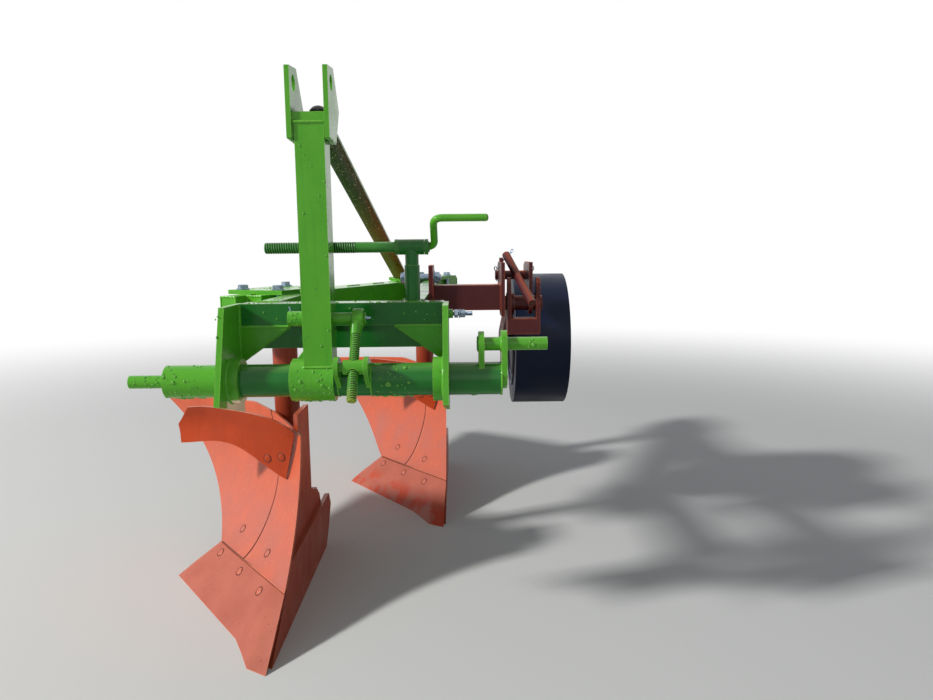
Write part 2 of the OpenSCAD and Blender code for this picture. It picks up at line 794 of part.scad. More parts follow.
module crank_cheeks() {
    color(green) place() difference() {
        union() {
            plate_x(shaft_right, cheek_plate_t) hull() {
                translate([0, crank_z]) circle(r = 29);
                translate([0, hitch_height + 12]) circle(r = 34);
            }
            plate_x(inner_cheek_x, cheek_plate_t) hull() {
                translate([0, crank_z]) circle(r = 27);
                translate([0, hitch_height + 30]) circle(r = 26);
            }
        }
        rod_x(crank_seat_d + 2 * run_fit, inner_cheek_x - 1, shaft_right + cheek_plate_t + 1, 0, crank_z);
        rod_x(shaft_d + seam, inner_cheek_x - 1, inner_cheek_x + cheek_plate_t + 1, 0, hitch_height);
    }
}

module crank_pin() {
    color(green) place() {
        rod_x(crank_seat_d, inner_cheek_x, shaft_right + cheek_plate_t, 0, crank_z);
        rod_x(hitch_pin_d, shaft_right, shaft_right + cheek_plate_t + crank_pin_l, 0, crank_z);
    }
}

ear_left_x = screw_x - trunnion_l / 2 - left_ear_gap - ear_t;
ear_right_x = screw_x + trunnion_l / 2 + side_gap;

module screw_ears() {
    color(green) place() difference() {
        for (x = [ear_left_x, ear_right_x]) plate_x(x, ear_t) hull() {
            translate([trunnion_y, trunnion_z]) circle(r = ear_r);
            translate([0, hitch_height]) circle(r = 30);
        }
        rod_x(shaft_d + seam, ear_left_x - 1, ear_right_x + ear_t + 1, 0, hitch_height);
        rod_x(trunnion_pin_d + 2 * run_fit, ear_left_x - 1, ear_right_x + ear_t + 1, trunnion_y, trunnion_z);
    }
}

module trunnion() {
    color(green) place() difference() {
        union() {
            rod_x(trunnion_d, screw_x - trunnion_l / 2, screw_x + trunnion_l / 2, trunnion_y, trunnion_z);
            rod_x(trunnion_pin_d, ear_left_x, ear_right_x + ear_t, trunnion_y, trunnion_z);
        }
        translate([screw_x, trunnion_y, trunnion_z]) rotate([-screw_tilt, 0, 0])
            translate([0, 0, -40]) cylinder(d = screw_hole_d, h = 80);
    }
}

// Brace from the mast's top to the main beam

brace_run = [foot[0], foot[1] - brace_pin_y];
brace_plan_l = norm(brace_run);
brace_turn = atan2(brace_run[0], brace_run[1]);
tongue_l = 62;
brace_drop = brace_front_z - brace_rear_z;
brace_grade = brace_drop / (brace_plan_l - 2 * tongue_l);
brace_side_h = brace_h * sqrt(1 + brace_grade * brace_grade);

// Height of the sloping channel at a run from the pin, a depth below its top face
function brace_z(run, depth) = brace_front_z + tongue_t - depth - (run - tongue_l) * brace_grade;

module brace() {
    near = tongue_l - 8;
    far = brace_plan_l - tongue_l - 14;
    rear_end = brace_plan_l + 22;
    low = frame_top + 5;
    low_run = tongue_l + (brace_front_z + tongue_t - brace_side_h - low) / brace_grade;
    color(green) place() translate([0, brace_pin_y, 0]) rotate([0, 0, -brace_turn]) difference() {
        plate_x(-brace_w / 2, brace_w) polygon([
            [-22, brace_front_z], [-22, brace_front_z + tongue_t], [tongue_l, brace_front_z + tongue_t],
            [brace_plan_l - tongue_l, brace_rear_z + tongue_t], [rear_end, brace_rear_z + tongue_t],
            [rear_end, brace_rear_z], [far, brace_rear_z], [far, low], [low_run, low],
            [near, brace_z(near, brace_side_h)], [near, brace_front_z]]);
        plate_x(brace_t - brace_w / 2, brace_w - 2 * brace_t) polygon([
            [near + brace_t, brace_z(near + brace_t, 2 * brace_h)],
            [near + brace_t, brace_z(near + brace_t, brace_t)],
            [far - brace_t, brace_z(far - brace_t, brace_t)],
            [far - brace_t, brace_z(far - brace_t, 2 * brace_h)]]);
        translate([0, 0, brace_front_z - 2]) linear_extrude(tongue_t + 4) hull()
            for (y = [-brace_slot, brace_slot]) translate([0, y]) circle(d = brace_pin_d + 2);
        translate([0, brace_plan_l, brace_rear_z - 2])
            cylinder(d = foot_pin_d + 2 * run_fit, h = tongue_t + 4);
    }
}

// Trailing arm of the depth wheel, and the wheel

// Its root is a fork of two plates joined by a block below the pivot
fork_plate_t = 10;
fork_front = -45;

module fork_outline() {
    hull() {
        translate([pivot_y, pivot_z]) circle(r = 28);
        translate([pivot_y + fork_front + 5, pivot_z - 78]) circle(r = 4);
        translate([pivot_y + 12, pivot_z - 78]) circle(r = 4);
    }
    polygon([[pivot_y + fork_front, pivot_z - 60], [pivot_y + fork_front, pivot_z + 57],
        [pivot_y + fork_front + 12, pivot_z + 70], [pivot_y - 16, pivot_z + 70], [pivot_y, pivot_z]]);
}

module swing_arm() {
    color(orange) place() {
        rod_x(pivot_d, bracket_x + side_gap, fork_x + fork_w + 9, pivot_y, pivot_z);
        for (x = [fork_x, fork_x + fork_w - fork_plate_t]) plate_x(x, fork_plate_t) fork_outline();
        translate([fork_x, pivot_y + fork_front, pivot_z - 82]) cube([fork_w, 60, 42]);
        plate_x(fork_x, arm_t) hull() {
            translate([pivot_y, pivot_z]) circle(r = 28);
            translate([hub_y, hub_z]) circle(r = 28);
        }
        rod_x(axle_d, fork_x + arm_t - 2, axle_end, hub_y, hub_z);
    }
}

axle_d = 40;
axle_end = wheel_x + wheel_w / 2 + axle_stub;
hub_d = 60;
hub_left = fork_x + arm_t + 3;
hub_right = wheel_x + wheel_w / 2 + 6;
rim_t = 6;

module wheel() {
    color(bare) place() translate([wheel_x - wheel_w / 2, hub_y, hub_z]) rotate([0, 90, 0]) difference() {
        cylinder(d = wheel_d, h = wheel_w, $fn = 96);
        translate([0, 0, rim_t]) cylinder(d = wheel_d - 2 * rim_t, h = wheel_w - 2 * rim_t, $fn = 96);
        translate([0, 0, -1]) cylinder(d = hub_d + seam, h = wheel_w + 2);
    }
}

module wheel_hub() {
    color(bare) place() difference() {
        rod_x(hub_d, hub_left, hub_right, hub_y, hub_z);
        rod_x(axle_d + 2 * run_fit, hub_left - 1, hub_right + 1, hub_y, hub_z);
    }
}

beam_tube_left();
beam_tube_right();
front_beam();
side_plate_left();
side_plate_right();
corner_gussets();
link_left();
link_right();
spindle_post();
shift_spindle();
shift_crank();
clamp_plate_front();
clamp_plate_rear();
leg_front();
leg_rear();
frog_front();
frog_rear();
landside_front();
landside_rear();
share_front();
share_rear();
shin_front();
shin_rear();
moldboard_front();
moldboard_rear();
trashboard_front();
trashboard_rear();
brace_foot();
wheel_beam();
wheel_bracket();
mast();
mast_sleeve();
link_cheeks();
link_shelf();
brace_pin();
cross_pin();
levelling_screw();
spindle_nut();
hitch_shaft();
crank_cheeks();
crank_pin();
screw_ears();
trunnion();
brace();
swing_arm();
wheel();
wheel_hub();
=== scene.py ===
"""Looks of a two-furrow mounted moldboard plough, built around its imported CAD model.

Forms are worked out in millimetres from the mast's middle line on the ground, X to the land side, Y to the
rear, Z up. A form is a pair: an array of points, and a list of arrays of faces with equal corner counts.
"""
import functools
import math

import bpy
import numpy as np
from mathutils import Matrix, Vector


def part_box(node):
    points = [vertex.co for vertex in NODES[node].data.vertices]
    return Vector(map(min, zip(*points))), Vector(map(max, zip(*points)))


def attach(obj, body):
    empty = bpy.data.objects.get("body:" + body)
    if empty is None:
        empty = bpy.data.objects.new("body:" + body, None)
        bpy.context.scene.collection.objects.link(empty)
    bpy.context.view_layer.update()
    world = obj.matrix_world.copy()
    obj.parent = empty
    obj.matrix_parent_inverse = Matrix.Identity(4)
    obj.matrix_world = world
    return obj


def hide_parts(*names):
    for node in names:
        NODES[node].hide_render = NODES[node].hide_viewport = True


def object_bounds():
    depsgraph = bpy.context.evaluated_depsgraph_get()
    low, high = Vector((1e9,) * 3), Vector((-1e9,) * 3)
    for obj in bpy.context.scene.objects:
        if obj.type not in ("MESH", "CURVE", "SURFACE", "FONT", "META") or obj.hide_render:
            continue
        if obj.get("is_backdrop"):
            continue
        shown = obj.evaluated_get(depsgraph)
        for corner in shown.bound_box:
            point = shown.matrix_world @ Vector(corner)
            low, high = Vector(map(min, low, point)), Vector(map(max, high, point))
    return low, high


bl_info = {
    "name": "Mounted Plough Finish",
    "version": (1, 0, 0),
    "blender": (4, 5, 0),
    "location": "3D View > Sidebar > Plough",
    "description": "Enamel, fasteners, welds, threads and rain for a mounted moldboard plough",
    "category": "Object",
}

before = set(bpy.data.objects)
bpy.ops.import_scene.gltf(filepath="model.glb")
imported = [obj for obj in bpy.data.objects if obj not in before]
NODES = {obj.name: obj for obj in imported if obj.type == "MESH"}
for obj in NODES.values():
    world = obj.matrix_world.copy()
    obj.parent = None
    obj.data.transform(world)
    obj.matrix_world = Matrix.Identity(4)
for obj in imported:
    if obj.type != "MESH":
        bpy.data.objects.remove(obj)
CAD_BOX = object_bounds()


def node_box(node):
    """Lowest and highest corner of a CAD node in millimetres of the part's frame."""
    return (np.array(corner) * 1000.0 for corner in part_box(node))


def mast_place():
    """The mast's middle line on the ground: 1.5 mm right of the cheeks' middle, over the shaft's axis."""
    cheeks = np.mean(list(node_box("link_cheeks")), axis=0)
    shaft = np.mean(list(node_box("hitch_shaft")), axis=0)
    return np.array([cheeks[0] + 1.5, shaft[1], 0.0])


MAST = mast_place()

# Heights of the main pieces, read from the frame
SHAFT_Z = float(np.mean(list(node_box("hitch_shaft")), axis=0)[2])
FRAME_BOTTOM, FRAME_TOP = (float(corner[2]) for corner in node_box("front_beam"))
MAST_TOP = float(list(node_box("mast"))[1][2])

# Radii of the shaft, its sleeve and the hitch pins, and how far the right pin stands above the shaft
SHAFT_R = 35.0
SLEEVE_R = 44.0
PIN_R = 14.0
PIN_RISE = 74.0

# The cross pin through the mast
CROSS_PIN_Y = 8.0
CROSS_PIN_Z = SHAFT_Z + 131.0

# Inner and outer faces of the side plates, left and right; front, crease and rear of the front beam
PLATE_IN = (-189.0, 261.0)
PLATE_OUT = (-201.0, 273.0)
BEAM_Y = (70.0, 78.0, 132.0)
CREASE_Z = FRAME_BOTTOM + 50.0

# Thickness of the plates that clamp the legs to the main beam
CLAMP_T = 12.0

# The rear body stands one furrow to the land side and one pitch behind the front one. The main beam's middle
# line starts over the first leg and runs the same way.
FURROW_W = 360.0
BODY_PITCH = 811.0
FRONT_BODY = np.array([-116.0, -98.0, 0.0])
BODY_ORIGINS = (FRONT_BODY, FRONT_BODY + (FURROW_W, BODY_PITCH, 0.0))
BEAM_START = np.array([-204.0, 525.0])
BEAM_TURN = math.atan2(FURROW_W, BODY_PITCH)
LEG_PITCH = BODY_PITCH / math.cos(BEAM_TURN)


def linear(code):
    """Linear colour from an sRGB hex value: ((c + 0.055) / 1.055) to the power 2.4 above 0.04045."""
    c = np.array([int(code[i:i + 2], 16) for i in (1, 3, 5)]) / 255.0
    c = np.where(c <= 0.04045, c / 12.92, ((c + 0.055) / 1.055) ** 2.4)
    return (*c.tolist(), 1.0)


def colour(label, note, code):
    """A colour property with its default given as sRGB hex."""
    return bpy.props.FloatVectorProperty(
        name=label, description=note, default=linear(code), size=4, min=0, max=1, subtype="COLOR")


def length(label, note, metres):
    """A length property in metres."""
    return bpy.props.FloatProperty(name=label, description=note, default=metres, min=0, unit="LENGTH")


class PloughColours(bpy.types.PropertyGroup):
    """Colours of the finishes"""
    green: colour("Green", "Frame enamel", "#57a826")
    green_shade: colour("Green shade", "Frame enamel where it lies thick", "#37891e")
    # Painted highlight: this lighter green is mixed onto edges as a painted highlight and onto faces that
    # look up as painted top light.
    green_painted_highlight: colour("Green light", "Frame enamel where it is thin on edges", "#9ad860")
    orange: colour("Orange", "Upper body enamel", "#d0582c")
    orange_shade: colour("Orange shade", "Body enamel where it lies thick", "#ad4622")
    # Painted highlight: this lighter orange is mixed onto edges as a painted highlight and onto faces that
    # look up as painted top light.
    orange_painted_highlight: colour("Orange light", "Body enamel on edges", "#dd8055")
    rose: colour("Rose", "Body enamel under a dry film of dust", "#b46150")
    # Painted shade: maroon stands in for the orange enamel of the wheel's beam and bracket where it lies in
    # shade.
    maroon: colour("Maroon", "Enamel of the wheel's beam and bracket", "#531f20")
    wheel: colour("Wheel", "Depth wheel enamel", "#0b1730")
    rust: colour("Rust", "Rust in chips and on bare ends", "#6d3b1d")
    cream: colour("Cream", "Torch-cut faces and dried splashes", "#d9c7a0")
    zinc: colour("Zinc", "Plated fasteners", "#76889c")
    black_oxide: colour("Black oxide", "Blackened pin", "#17191b")
    floor: colour("Floor", "Paper floor", "#d3d3cf")


class PloughSizes(bpy.types.PropertyGroup):
    """Sizes of the small pieces"""
    clamp_bolt: length("Clamp bolt", "Diameter of the clamps' bolts", 0.016)
    stud: length("Stud", "Diameter of the stud through the right side plate", 0.010)
    bead: length("Weld bead", "Half the width of a weld bead", 0.0042)
    thread_pitch: length("Thread pitch", "Pitch of the spindle's and the screw's threads", 0.0052)
    share_edge: length("Share edge", "Thickness of the share's cutting edge", 0.004)
    drop: length("Drop", "Mean radius of a rain drop", 0.0021)


# Forms

def skin(rings, loop=False):
    """Surface through rings of equal count: quads between neighbours, turning anticlockwise about the way
    from the first ring to the last, with a flat cap on both ends, or the last ring joined to the first."""
    m, n = rings.shape[:2]
    first = np.arange(m if loop else m - 1)[:, None]
    here, there = first * n, (first + 1) % m * n
    j = np.arange(n)[None]
    k = (j + 1) % n
    quads = np.stack(np.broadcast_arrays(here + j, here + k, there + k, there + j), -1).reshape(-1, 4)
    caps = [] if loop else [j[:, ::-1], j + (m - 1) * n]
    return rings.reshape(-1, 3), [quads, *caps]


def shell(front, back):
    """Closed plate between two grids of equal count: both grids as quads, and quads round their rims."""
    rows, cols = front.shape[:2]
    n = rows * cols
    at = np.arange(n).reshape(rows, cols)
    face = np.stack([at[:-1, :-1], at[1:, :-1], at[1:, 1:], at[:-1, 1:]], -1).reshape(-1, 4)
    rim = np.concatenate([at[0, :-1], at[:-1, -1], at[-1, :0:-1], at[:0:-1, 0]])
    after = np.roll(rim, -1)
    sides = np.stack([rim, after, after + n, rim + n], -1)
    points = np.concatenate([front.reshape(-1, 3), back.reshape(-1, 3)])
    return points, [face, face[:, ::-1] + n, sides]


def join(*forms):
    """One form from several: their points in a row, their faces counted on."""
    points, faces, start = [], [], 0
    for p, f in forms:
        points.append(p)
        faces += [a + start for a in f]
        start += len(p)
    return np.concatenate(points), faces


def frames(axes, spins=0.0):
    """Right-handed frames, one per axis: the third row is the axis, the others lie across it, turned by the
    spin: cross products with X, or with Y where the axis is close to X."""
    z = np.atleast_2d(np.asarray(axes, float))
    z = z / np.linalg.norm(z, axis=1, keepdims=True)
    helper = np.where(np.abs(z[:, :1]) < 0.9, [[1.0, 0.0, 0.0]], [[0.0, 1.0, 0.0]])
    x = np.cross(helper, z)
    x = x / np.linalg.norm(x, axis=1, keepdims=True)
    y = np.cross(z, x)
    c = np.cos(np.broadcast_to(spins, len(z)))[:, None]
    s = np.sin(np.broadcast_to(spins, len(z)))[:, None]
    return np.stack([c * x + s * y, c * y - s * x, z], axis=1)


def set_out(form, places, axes=(0, 0, 1), spins=0.0, scales=1.0):
    """Copies of a form: each point times the scale, turned into the frame of its axis, moved to its place."""
    points, faces = form
    places = np.atleast_2d(np.asarray(places, float))
    turned = frames(np.broadcast_to(axes, places.shape), spins)
    scales = np.broadcast_to(np.reshape(scales, (-1, 1, 1)), (len(places), 1, 1))
    copies = (points[None] * scales) @ turned + places[:, None]
    offsets = np.arange(len(places))[:, None, None] * len(points)
    return copies.reshape(-1, 3), [(f[None] + offsets).reshape(-1, f.shape[1]) for f in faces]


def around(sides):
    """Angles of a whole turn in equal steps."""
    return np.arange(sides) * 2 * math.pi / sides


def about_z(radius, height, turn):
    """Solid through rings about Z: radius times cosine and sine of the turn, at the height."""
    return skin(np.stack([radius * np.cos(turn), radius * np.sin(turn), height + 0 * turn], -1))


def lathe(profile, sides):
    """Solid of revolution about Z: radius and height of each ring from the profile, from low to high."""
    profile = np.asarray(profile, float)
    return about_z(profile[:, :1], profile[:, 1:], around(sides))


def hexagon(across, turn):
    """Radius of a hexagon at an angle: half the width across flats over the cosine to the nearest flat."""
    return across / 2 / np.cos((turn + math.pi / 6) % (math.pi / 3) - math.pi / 6)


def hex_block(across, height, both=False):
    """Hexagon bar whose corners a 30 degree cone cuts at the top, or at both ends: the smaller radius of the
    two at each height."""
    turn = around(24)
    share = np.array([0.0, 0.06, 0.14, 0.86, 0.94, 1.0])[:, None]
    from_top = (1 - share) * height
    cone = 0.475 * across + 1.7 * (np.minimum(from_top, share * height) if both else from_top)
    return about_z(np.minimum(hexagon(across, turn), cone), share * height, turn)


def thread(radius, depth, pitch, span, sides=18, per_pitch=6):
    """Threaded rod along Z: the radius less the depth times a triangle wave of height over pitch minus turn
    over a full turn, and less at both ends over half a pitch."""
    height = np.linspace(0, span, int(span / pitch * per_pitch) + 1)[:, None]
    turn = around(sides)
    wave = np.abs(2 * ((height / pitch - turn / (2 * math.pi)) % 1.0) - 1)
    ends = 1 - np.clip(np.minimum(height, span - height) / (0.5 * pitch), 0, 1)
    return about_z(radius - depth * np.maximum(wave, ends), height, turn)


def along(path, spacing, loop=False):
    """Points at even spacing on a path of straight stretches, by its running length."""
    path = np.asarray(path, float)
    if loop:
        path = np.concatenate([path, path[:1]])
    run = np.concatenate([[0], np.cumsum(np.linalg.norm(np.diff(path, axis=0), axis=1))])
    count = max(4, int(run[-1] / spacing) + 1)
    at = np.linspace(0, run[-1], count, endpoint=not loop)
    return np.stack([np.interp(at, run, path[:, i]) for i in range(3)], -1), at


def tangents(places, loop=False):
    """Unit tangents of a path: the step from the point before to the point after, round a loop's end."""
    step = np.roll(places, -1, 0) - np.roll(places, 1, 0) if loop else np.gradient(places, axis=0)
    return step / np.linalg.norm(step, axis=1, keepdims=True)


def square_to(tangent, way):
    """Unit directions square to the tangents and closest to the given way: the way less its part along."""
    way = way - tangent * np.sum(way * tangent, axis=1, keepdims=True)
    return way / np.linalg.norm(way, axis=1, keepdims=True)


def facing_out(rings, tangent):
    """The rings, turned round where they run clockwise about the tangent, so that faces look outwards."""
    middle = rings[0].mean(0)
    turn = np.cross(rings[0][0] - middle, rings[0][1] - middle)
    return rings[:, ::-1] if np.dot(turn, tangent[0]) < 0 else rings


def bead(path, out, size, loop=False):
    """Weld bead: an ellipse carried along the path, its width swelling with each 3.4 mm ripple and a slow
    random wander, its height two thirds of its width along the way out of the corner. The way out is one for
    the whole path, or a row of ways that are mixed along it. The wander's seed comes from the places."""
    places, at = along(path, 1.5, loop)
    tangent = tangents(places, loop)
    out = np.atleast_2d(np.asarray(out, float))
    share = np.linspace(0, 1, len(places))
    out = np.stack([np.interp(share, np.linspace(0, 1, len(out)), line) for line in out.T], -1)
    out = square_to(tangent, out)
    side = np.cross(out, tangent)
    rng = np.random.default_rng(int(abs(places).sum()) % 9973)
    wander = np.interp(at, np.linspace(0, at[-1] + 1, 12), rng.uniform(0.85, 1.15, 12))
    ripple = 1 + 0.13 * np.abs(np.sin(math.pi * at / 3.4))
    width = (size * wander * ripple)[:, None, None]
    turn = (around(8) + math.pi / 8)[:, None]
    rings = places[:, None] + width * (np.cos(turn) * side[:, None] + 0.66 * np.sin(turn) * out[:, None])
    return skin(facing_out(rings, tangent), loop)


def tube(path, radius, across, sides=12, spacing=3.0, loop=False):
    """Round bar along a path: a circle at each point in the plane of the given cross direction and its
    product with the tangent."""
    places, _ = along(path, spacing, loop)
    tangent = tangents(places, loop)
    across = square_to(tangent, np.asarray(across, float))
    up = np.cross(tangent, across)
    turn = around(sides)[:, None]
    rings = places[:, None] + radius * (np.cos(turn) * across[:, None] + np.sin(turn) * up[:, None])
    return skin(rings, loop)


def rounded(corners, reach, steps=8):
    """Path through corners, each turned by a quadratic curve from the reach before it to the reach after."""
    corners = [np.asarray(c, float) for c in corners]
    path = [corners[0]]
    t = np.linspace(0, 1, steps)[:, None]
    for before, here, after in zip(corners, corners[1:], corners[2:]):
        start = here + (before - here) / np.linalg.norm(before - here) * reach
        end = here + (after - here) / np.linalg.norm(after - here) * reach
        path.extend((1 - t) ** 2 * start + 2 * t * (1 - t) * here + t ** 2 * end)
    path.append(corners[-1])
    return np.array(path)


def circle(centre, radius, axis, steps=72):
    """Points round an axis, and the way out from it at each."""
    x, y, _ = frames(axis)[0]
    turn = around(steps)[:, None]
    out = np.cos(turn) * x + np.sin(turn) * y
    return np.asarray(centre, float) + radius * out, out


def ring_bead(centre, radius, axis, size):
    """Weld round a bar that stands on a face: the bead leans halfway from the way out to the axis."""
    path, out = circle(centre, radius, axis)
    return bead(path, out + np.asarray(axis, float), size, loop=True)


def on_beam(run, across, z):
    """Place on the main beam: along it, across it to the land side, and up."""
    s, c = math.sin(BEAM_TURN), math.cos(BEAM_TURN)
    return np.array([BEAM_START[0] + run * s + across * c, BEAM_START[1] + run * c - across * s, z])


def piece(name, form, body, material, finish_slot, replaced=(), sharp=32.0):
    """A finished piece: the form's points in metres of the part's frame, smooth but for edges sharper than
    the angle in degrees, riding on a body."""
    points, faces = form
    mesh = bpy.data.meshes.new(name)
    corners = [corner for block in faces for corner in block.tolist()]
    mesh.from_pydata(((points + MAST) / 1000.0).tolist(), [], corners)
    mesh.polygons.foreach_set("use_smooth", np.ones(len(corners), bool))
    mesh.set_sharp_from_angle(angle=math.radians(sharp))
    mesh.materials.append(material)
    obj = bpy.data.objects.new(name, mesh)
    bpy.context.scene.collection.objects.link(obj)
    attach(obj, body)
    if replaced:
        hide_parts(*replaced)


# Materials

def add(tree, kind, inputs=None, **settings):
    """Adds a shader node with its settings, and gives each input its value or links it to a socket."""
    node = tree.nodes.new(kind)
    for name, value in settings.items():
        setattr(node, name, value)
    for name, value in (inputs or {}).items():
        if isinstance(value, bpy.types.NodeSocket):
            tree.links.new(value, node.inputs[name])
        else:
            node.inputs[name].default_value = value
    return node


def blank(name):
    """A new material with its node tree, its surface, and the place on the piece that patterns read."""
    material = bpy.data.materials.new(name)
    material.use_nodes = True
    tree = material.node_tree
    place = add(tree, "ShaderNodeTexCoord").outputs["Object"]
    return material, tree, tree.nodes["Principled BSDF"], place


def between(tree, place, axis, start, end):
    """Mask that rises from 0 to 1 between two places on an axis, in millimetres from the mast."""
    value = add(tree, "ShaderNodeSeparateXYZ", {0: place}).outputs[axis]
    low, high = ((MAST["XYZ".index(axis)] + at) / 1000.0 for at in (start, end))
    return add(tree, "ShaderNodeMapRange", {"Value": value, "From Min": low, "From Max": high}).outputs[0]


def enamel(name, base, shade, light, rough=0.3, chip_limit=0.75, dust=0.25, edge_width=2.5, cloudy=0.4,
           coat=0.12, shine=0.22, stains=()):
    """Sprayed enamel on rolled steel. Mottling a hand wide and runs 9 mm wide, drawn out along Z, darken it.
    Edges are lighter by a painted highlight, and faces that look up by painted top light as strong as the
    dust argument; noise of 6 mm past a limit opens chips of rust, and its skin is orange peel 3 mm across. A
    stain is a colour and a function that makes its mask. The edge width is in millimetres."""
    colours = bpy.context.scene.plough_colours
    material, tree, surface, place = blank(name)
    geometry = add(tree, "ShaderNodeNewGeometry").outputs

    bevel = add(tree, "ShaderNodeBevel", {"Radius": edge_width / 1000}, samples=4).outputs[0]
    likeness = add(tree, "ShaderNodeVectorMath", {0: bevel, 1: geometry["True Normal"]},
                   operation="DOT_PRODUCT").outputs["Value"]
    edge = add(tree, "ShaderNodeMapRange",
               {"Value": likeness, "From Min": 0.985, "From Max": 0.85}).outputs[0]
    # Painted top light: a mask of faces that look up, as strong as the dust argument, which mixes the paint
    # towards the lighter colour.
    up = add(tree, "ShaderNodeSeparateXYZ", {0: geometry["Normal"]}).outputs["Z"]
    top = add(tree, "ShaderNodeMapRange",
              {"Value": up, "From Min": 0.55, "From Max": 0.98, "To Max": dust}).outputs[0]

    mottle = add(tree, "ShaderNodeTexNoise",
                 {"Vector": place, "Scale": 1000 / 80, "Detail": 4.0}).outputs[0]
    cloud = add(tree, "ShaderNodeMapRange",
                {"Value": mottle, "From Min": 0.35, "From Max": 0.75, "To Max": cloudy}).outputs[0]
    drawn = add(tree, "ShaderNodeMapping", {"Vector": place, "Scale": (1.0, 1.0, 0.07)}).outputs[0]
    run = add(tree, "ShaderNodeTexNoise", {"Vector": drawn, "Scale": 1000 / 9, "Detail": 3.0}).outputs[0]
    streak = add(tree, "ShaderNodeMapRange",
                 {"Value": run, "From Min": 0.5, "From Max": 0.8, "To Max": 0.3}).outputs[0]
    grit = add(tree, "ShaderNodeTexNoise", {"Vector": place, "Scale": 1000 / 6, "Detail": 4.0}).outputs[0]
    raised = add(tree, "ShaderNodeMath", {0: edge, 1: 0.12, 2: grit}, operation="MULTIPLY_ADD").outputs[0]
    chip = add(tree, "ShaderNodeMapRange",
               {"Value": raised, "From Min": chip_limit, "From Max": chip_limit + 0.015}).outputs[0]
    peel = add(tree, "ShaderNodeTexNoise", {"Vector": place, "Scale": 1000 / 3, "Detail": 2.0}).outputs[0]

    paint = add(tree, "ShaderNodeMix", {0: cloud, 6: base, 7: shade}, data_type="RGBA").outputs[2]
    paint = add(tree, "ShaderNodeMix", {0: streak, 6: paint, 7: shade}, data_type="RGBA").outputs[2]
    paint = add(tree, "ShaderNodeMix", {0: top, 6: paint, 7: light}, data_type="RGBA").outputs[2]
    for stain, mask in stains:
        masked = mask(tree, place, mottle, grit)
        paint = add(tree, "ShaderNodeMix", {0: masked, 6: paint, 7: stain}, data_type="RGBA").outputs[2]
    # Painted highlight: edges, broken up by noise, are mixed towards the lighter colour.
    painted_edge_highlight = add(tree, "ShaderNodeMath", {0: edge, 1: grit}, operation="MULTIPLY").outputs[0]
    paint = add(tree, "ShaderNodeMix", {0: painted_edge_highlight, 6: paint, 7: light}, data_type="RGBA").outputs[2]
    paint = add(tree, "ShaderNodeMix", {0: chip, 6: paint, 7: colours.rust}, data_type="RGBA").outputs[2]

    dull = add(tree, "ShaderNodeMapRange",
               {"Value": mottle, "From Min": 0.3, "From Max": 0.7, "To Min": rough - 0.08,
                "To Max": rough + 0.1}).outputs[0]
    dull = add(tree, "ShaderNodeMath", {0: chip, 1: 0.4, 2: dull}, operation="MULTIPLY_ADD").outputs[0]
    relief = add(tree, "ShaderNodeMath", {0: chip, 1: -1.5, 2: peel}, operation="MULTIPLY_ADD").outputs[0]
    bump = add(tree, "ShaderNodeBump", {"Height": relief, "Distance": 0.00035, "Strength": 0.55})

    tree.links.new(paint, surface.inputs["Base Color"])
    tree.links.new(dull, surface.inputs["Roughness"])
    tree.links.new(bump.outputs[0], surface.inputs["Normal"])
    surface.inputs["Specular IOR Level"].default_value = shine
    surface.inputs["Coat Weight"].default_value = coat
    surface.inputs["Coat Roughness"].default_value = 0.12
    return material


@functools.cache
def green_enamel():
    """Alkyd enamel, bright green, sprayed over welded steel: a wet gloss with soft runs."""
    c = bpy.context.scene.plough_colours
    return enamel("green alkyd enamel", c.green, c.green_shade, c.green_painted_highlight, rough=0.18, chip_limit=0.8)


@functools.cache
def painted_shade_enamel():
    """The same green, darker and cooler between the plates as painted shade. Beyond the left plate it is as
    bright as elsewhere."""
    c = bpy.context.scene.plough_colours

    # Where the painted shade ends: beyond the left plate the plain green returns.
    def thin(tree, place, mottle, grit):
        return between(tree, place, "X", -196.0, -206.0)

    return enamel("green enamel in painted shade between the plates", linear("#1f7326"), linear("#12571f"), c.green_painted_highlight, rough=0.16,
                  chip_limit=0.8, stains=[(c.green, thin)])


@functools.cache
def painted_groove_shade_enamel():
    """Painted shade in a thread's grooves: nearly black-green and wet, on the core that shows between the
    crests.
    """
    return enamel("green enamel in painted groove shade", linear("#1c451c"), linear("#14331a"), linear("#2c5a2a"), rough=0.2)


@functools.cache
def plate_enamel():
    """The same green on torch-cut plate, with a cream patch low on its inner face, painted bright as a sunlit
    patch.
    """
    c = bpy.context.scene.plough_colours

    # Painted sunlight: a bright cream patch low on the plate's inner face.
    def painted_sunlit_patch(tree, place, mottle, grit):
        low = between(tree, place, "Z", 584.0, 579.0)
        rear = between(tree, place, "Y", -50.0, -40.0)
        left = between(tree, place, "X", 0.0, -10.0)
        both = add(tree, "ShaderNodeMath", {0: low, 1: rear}, operation="MULTIPLY").outputs[0]
        return add(tree, "ShaderNodeMath", {0: both, 1: left}, operation="MULTIPLY").outputs[0]

    return enamel("green enamel on cut plate", c.green, c.green_shade, c.green_painted_highlight, chip_limit=0.7,
                  edge_width=3.5, stains=[(linear("#f3e6c4"), painted_sunlit_patch)])


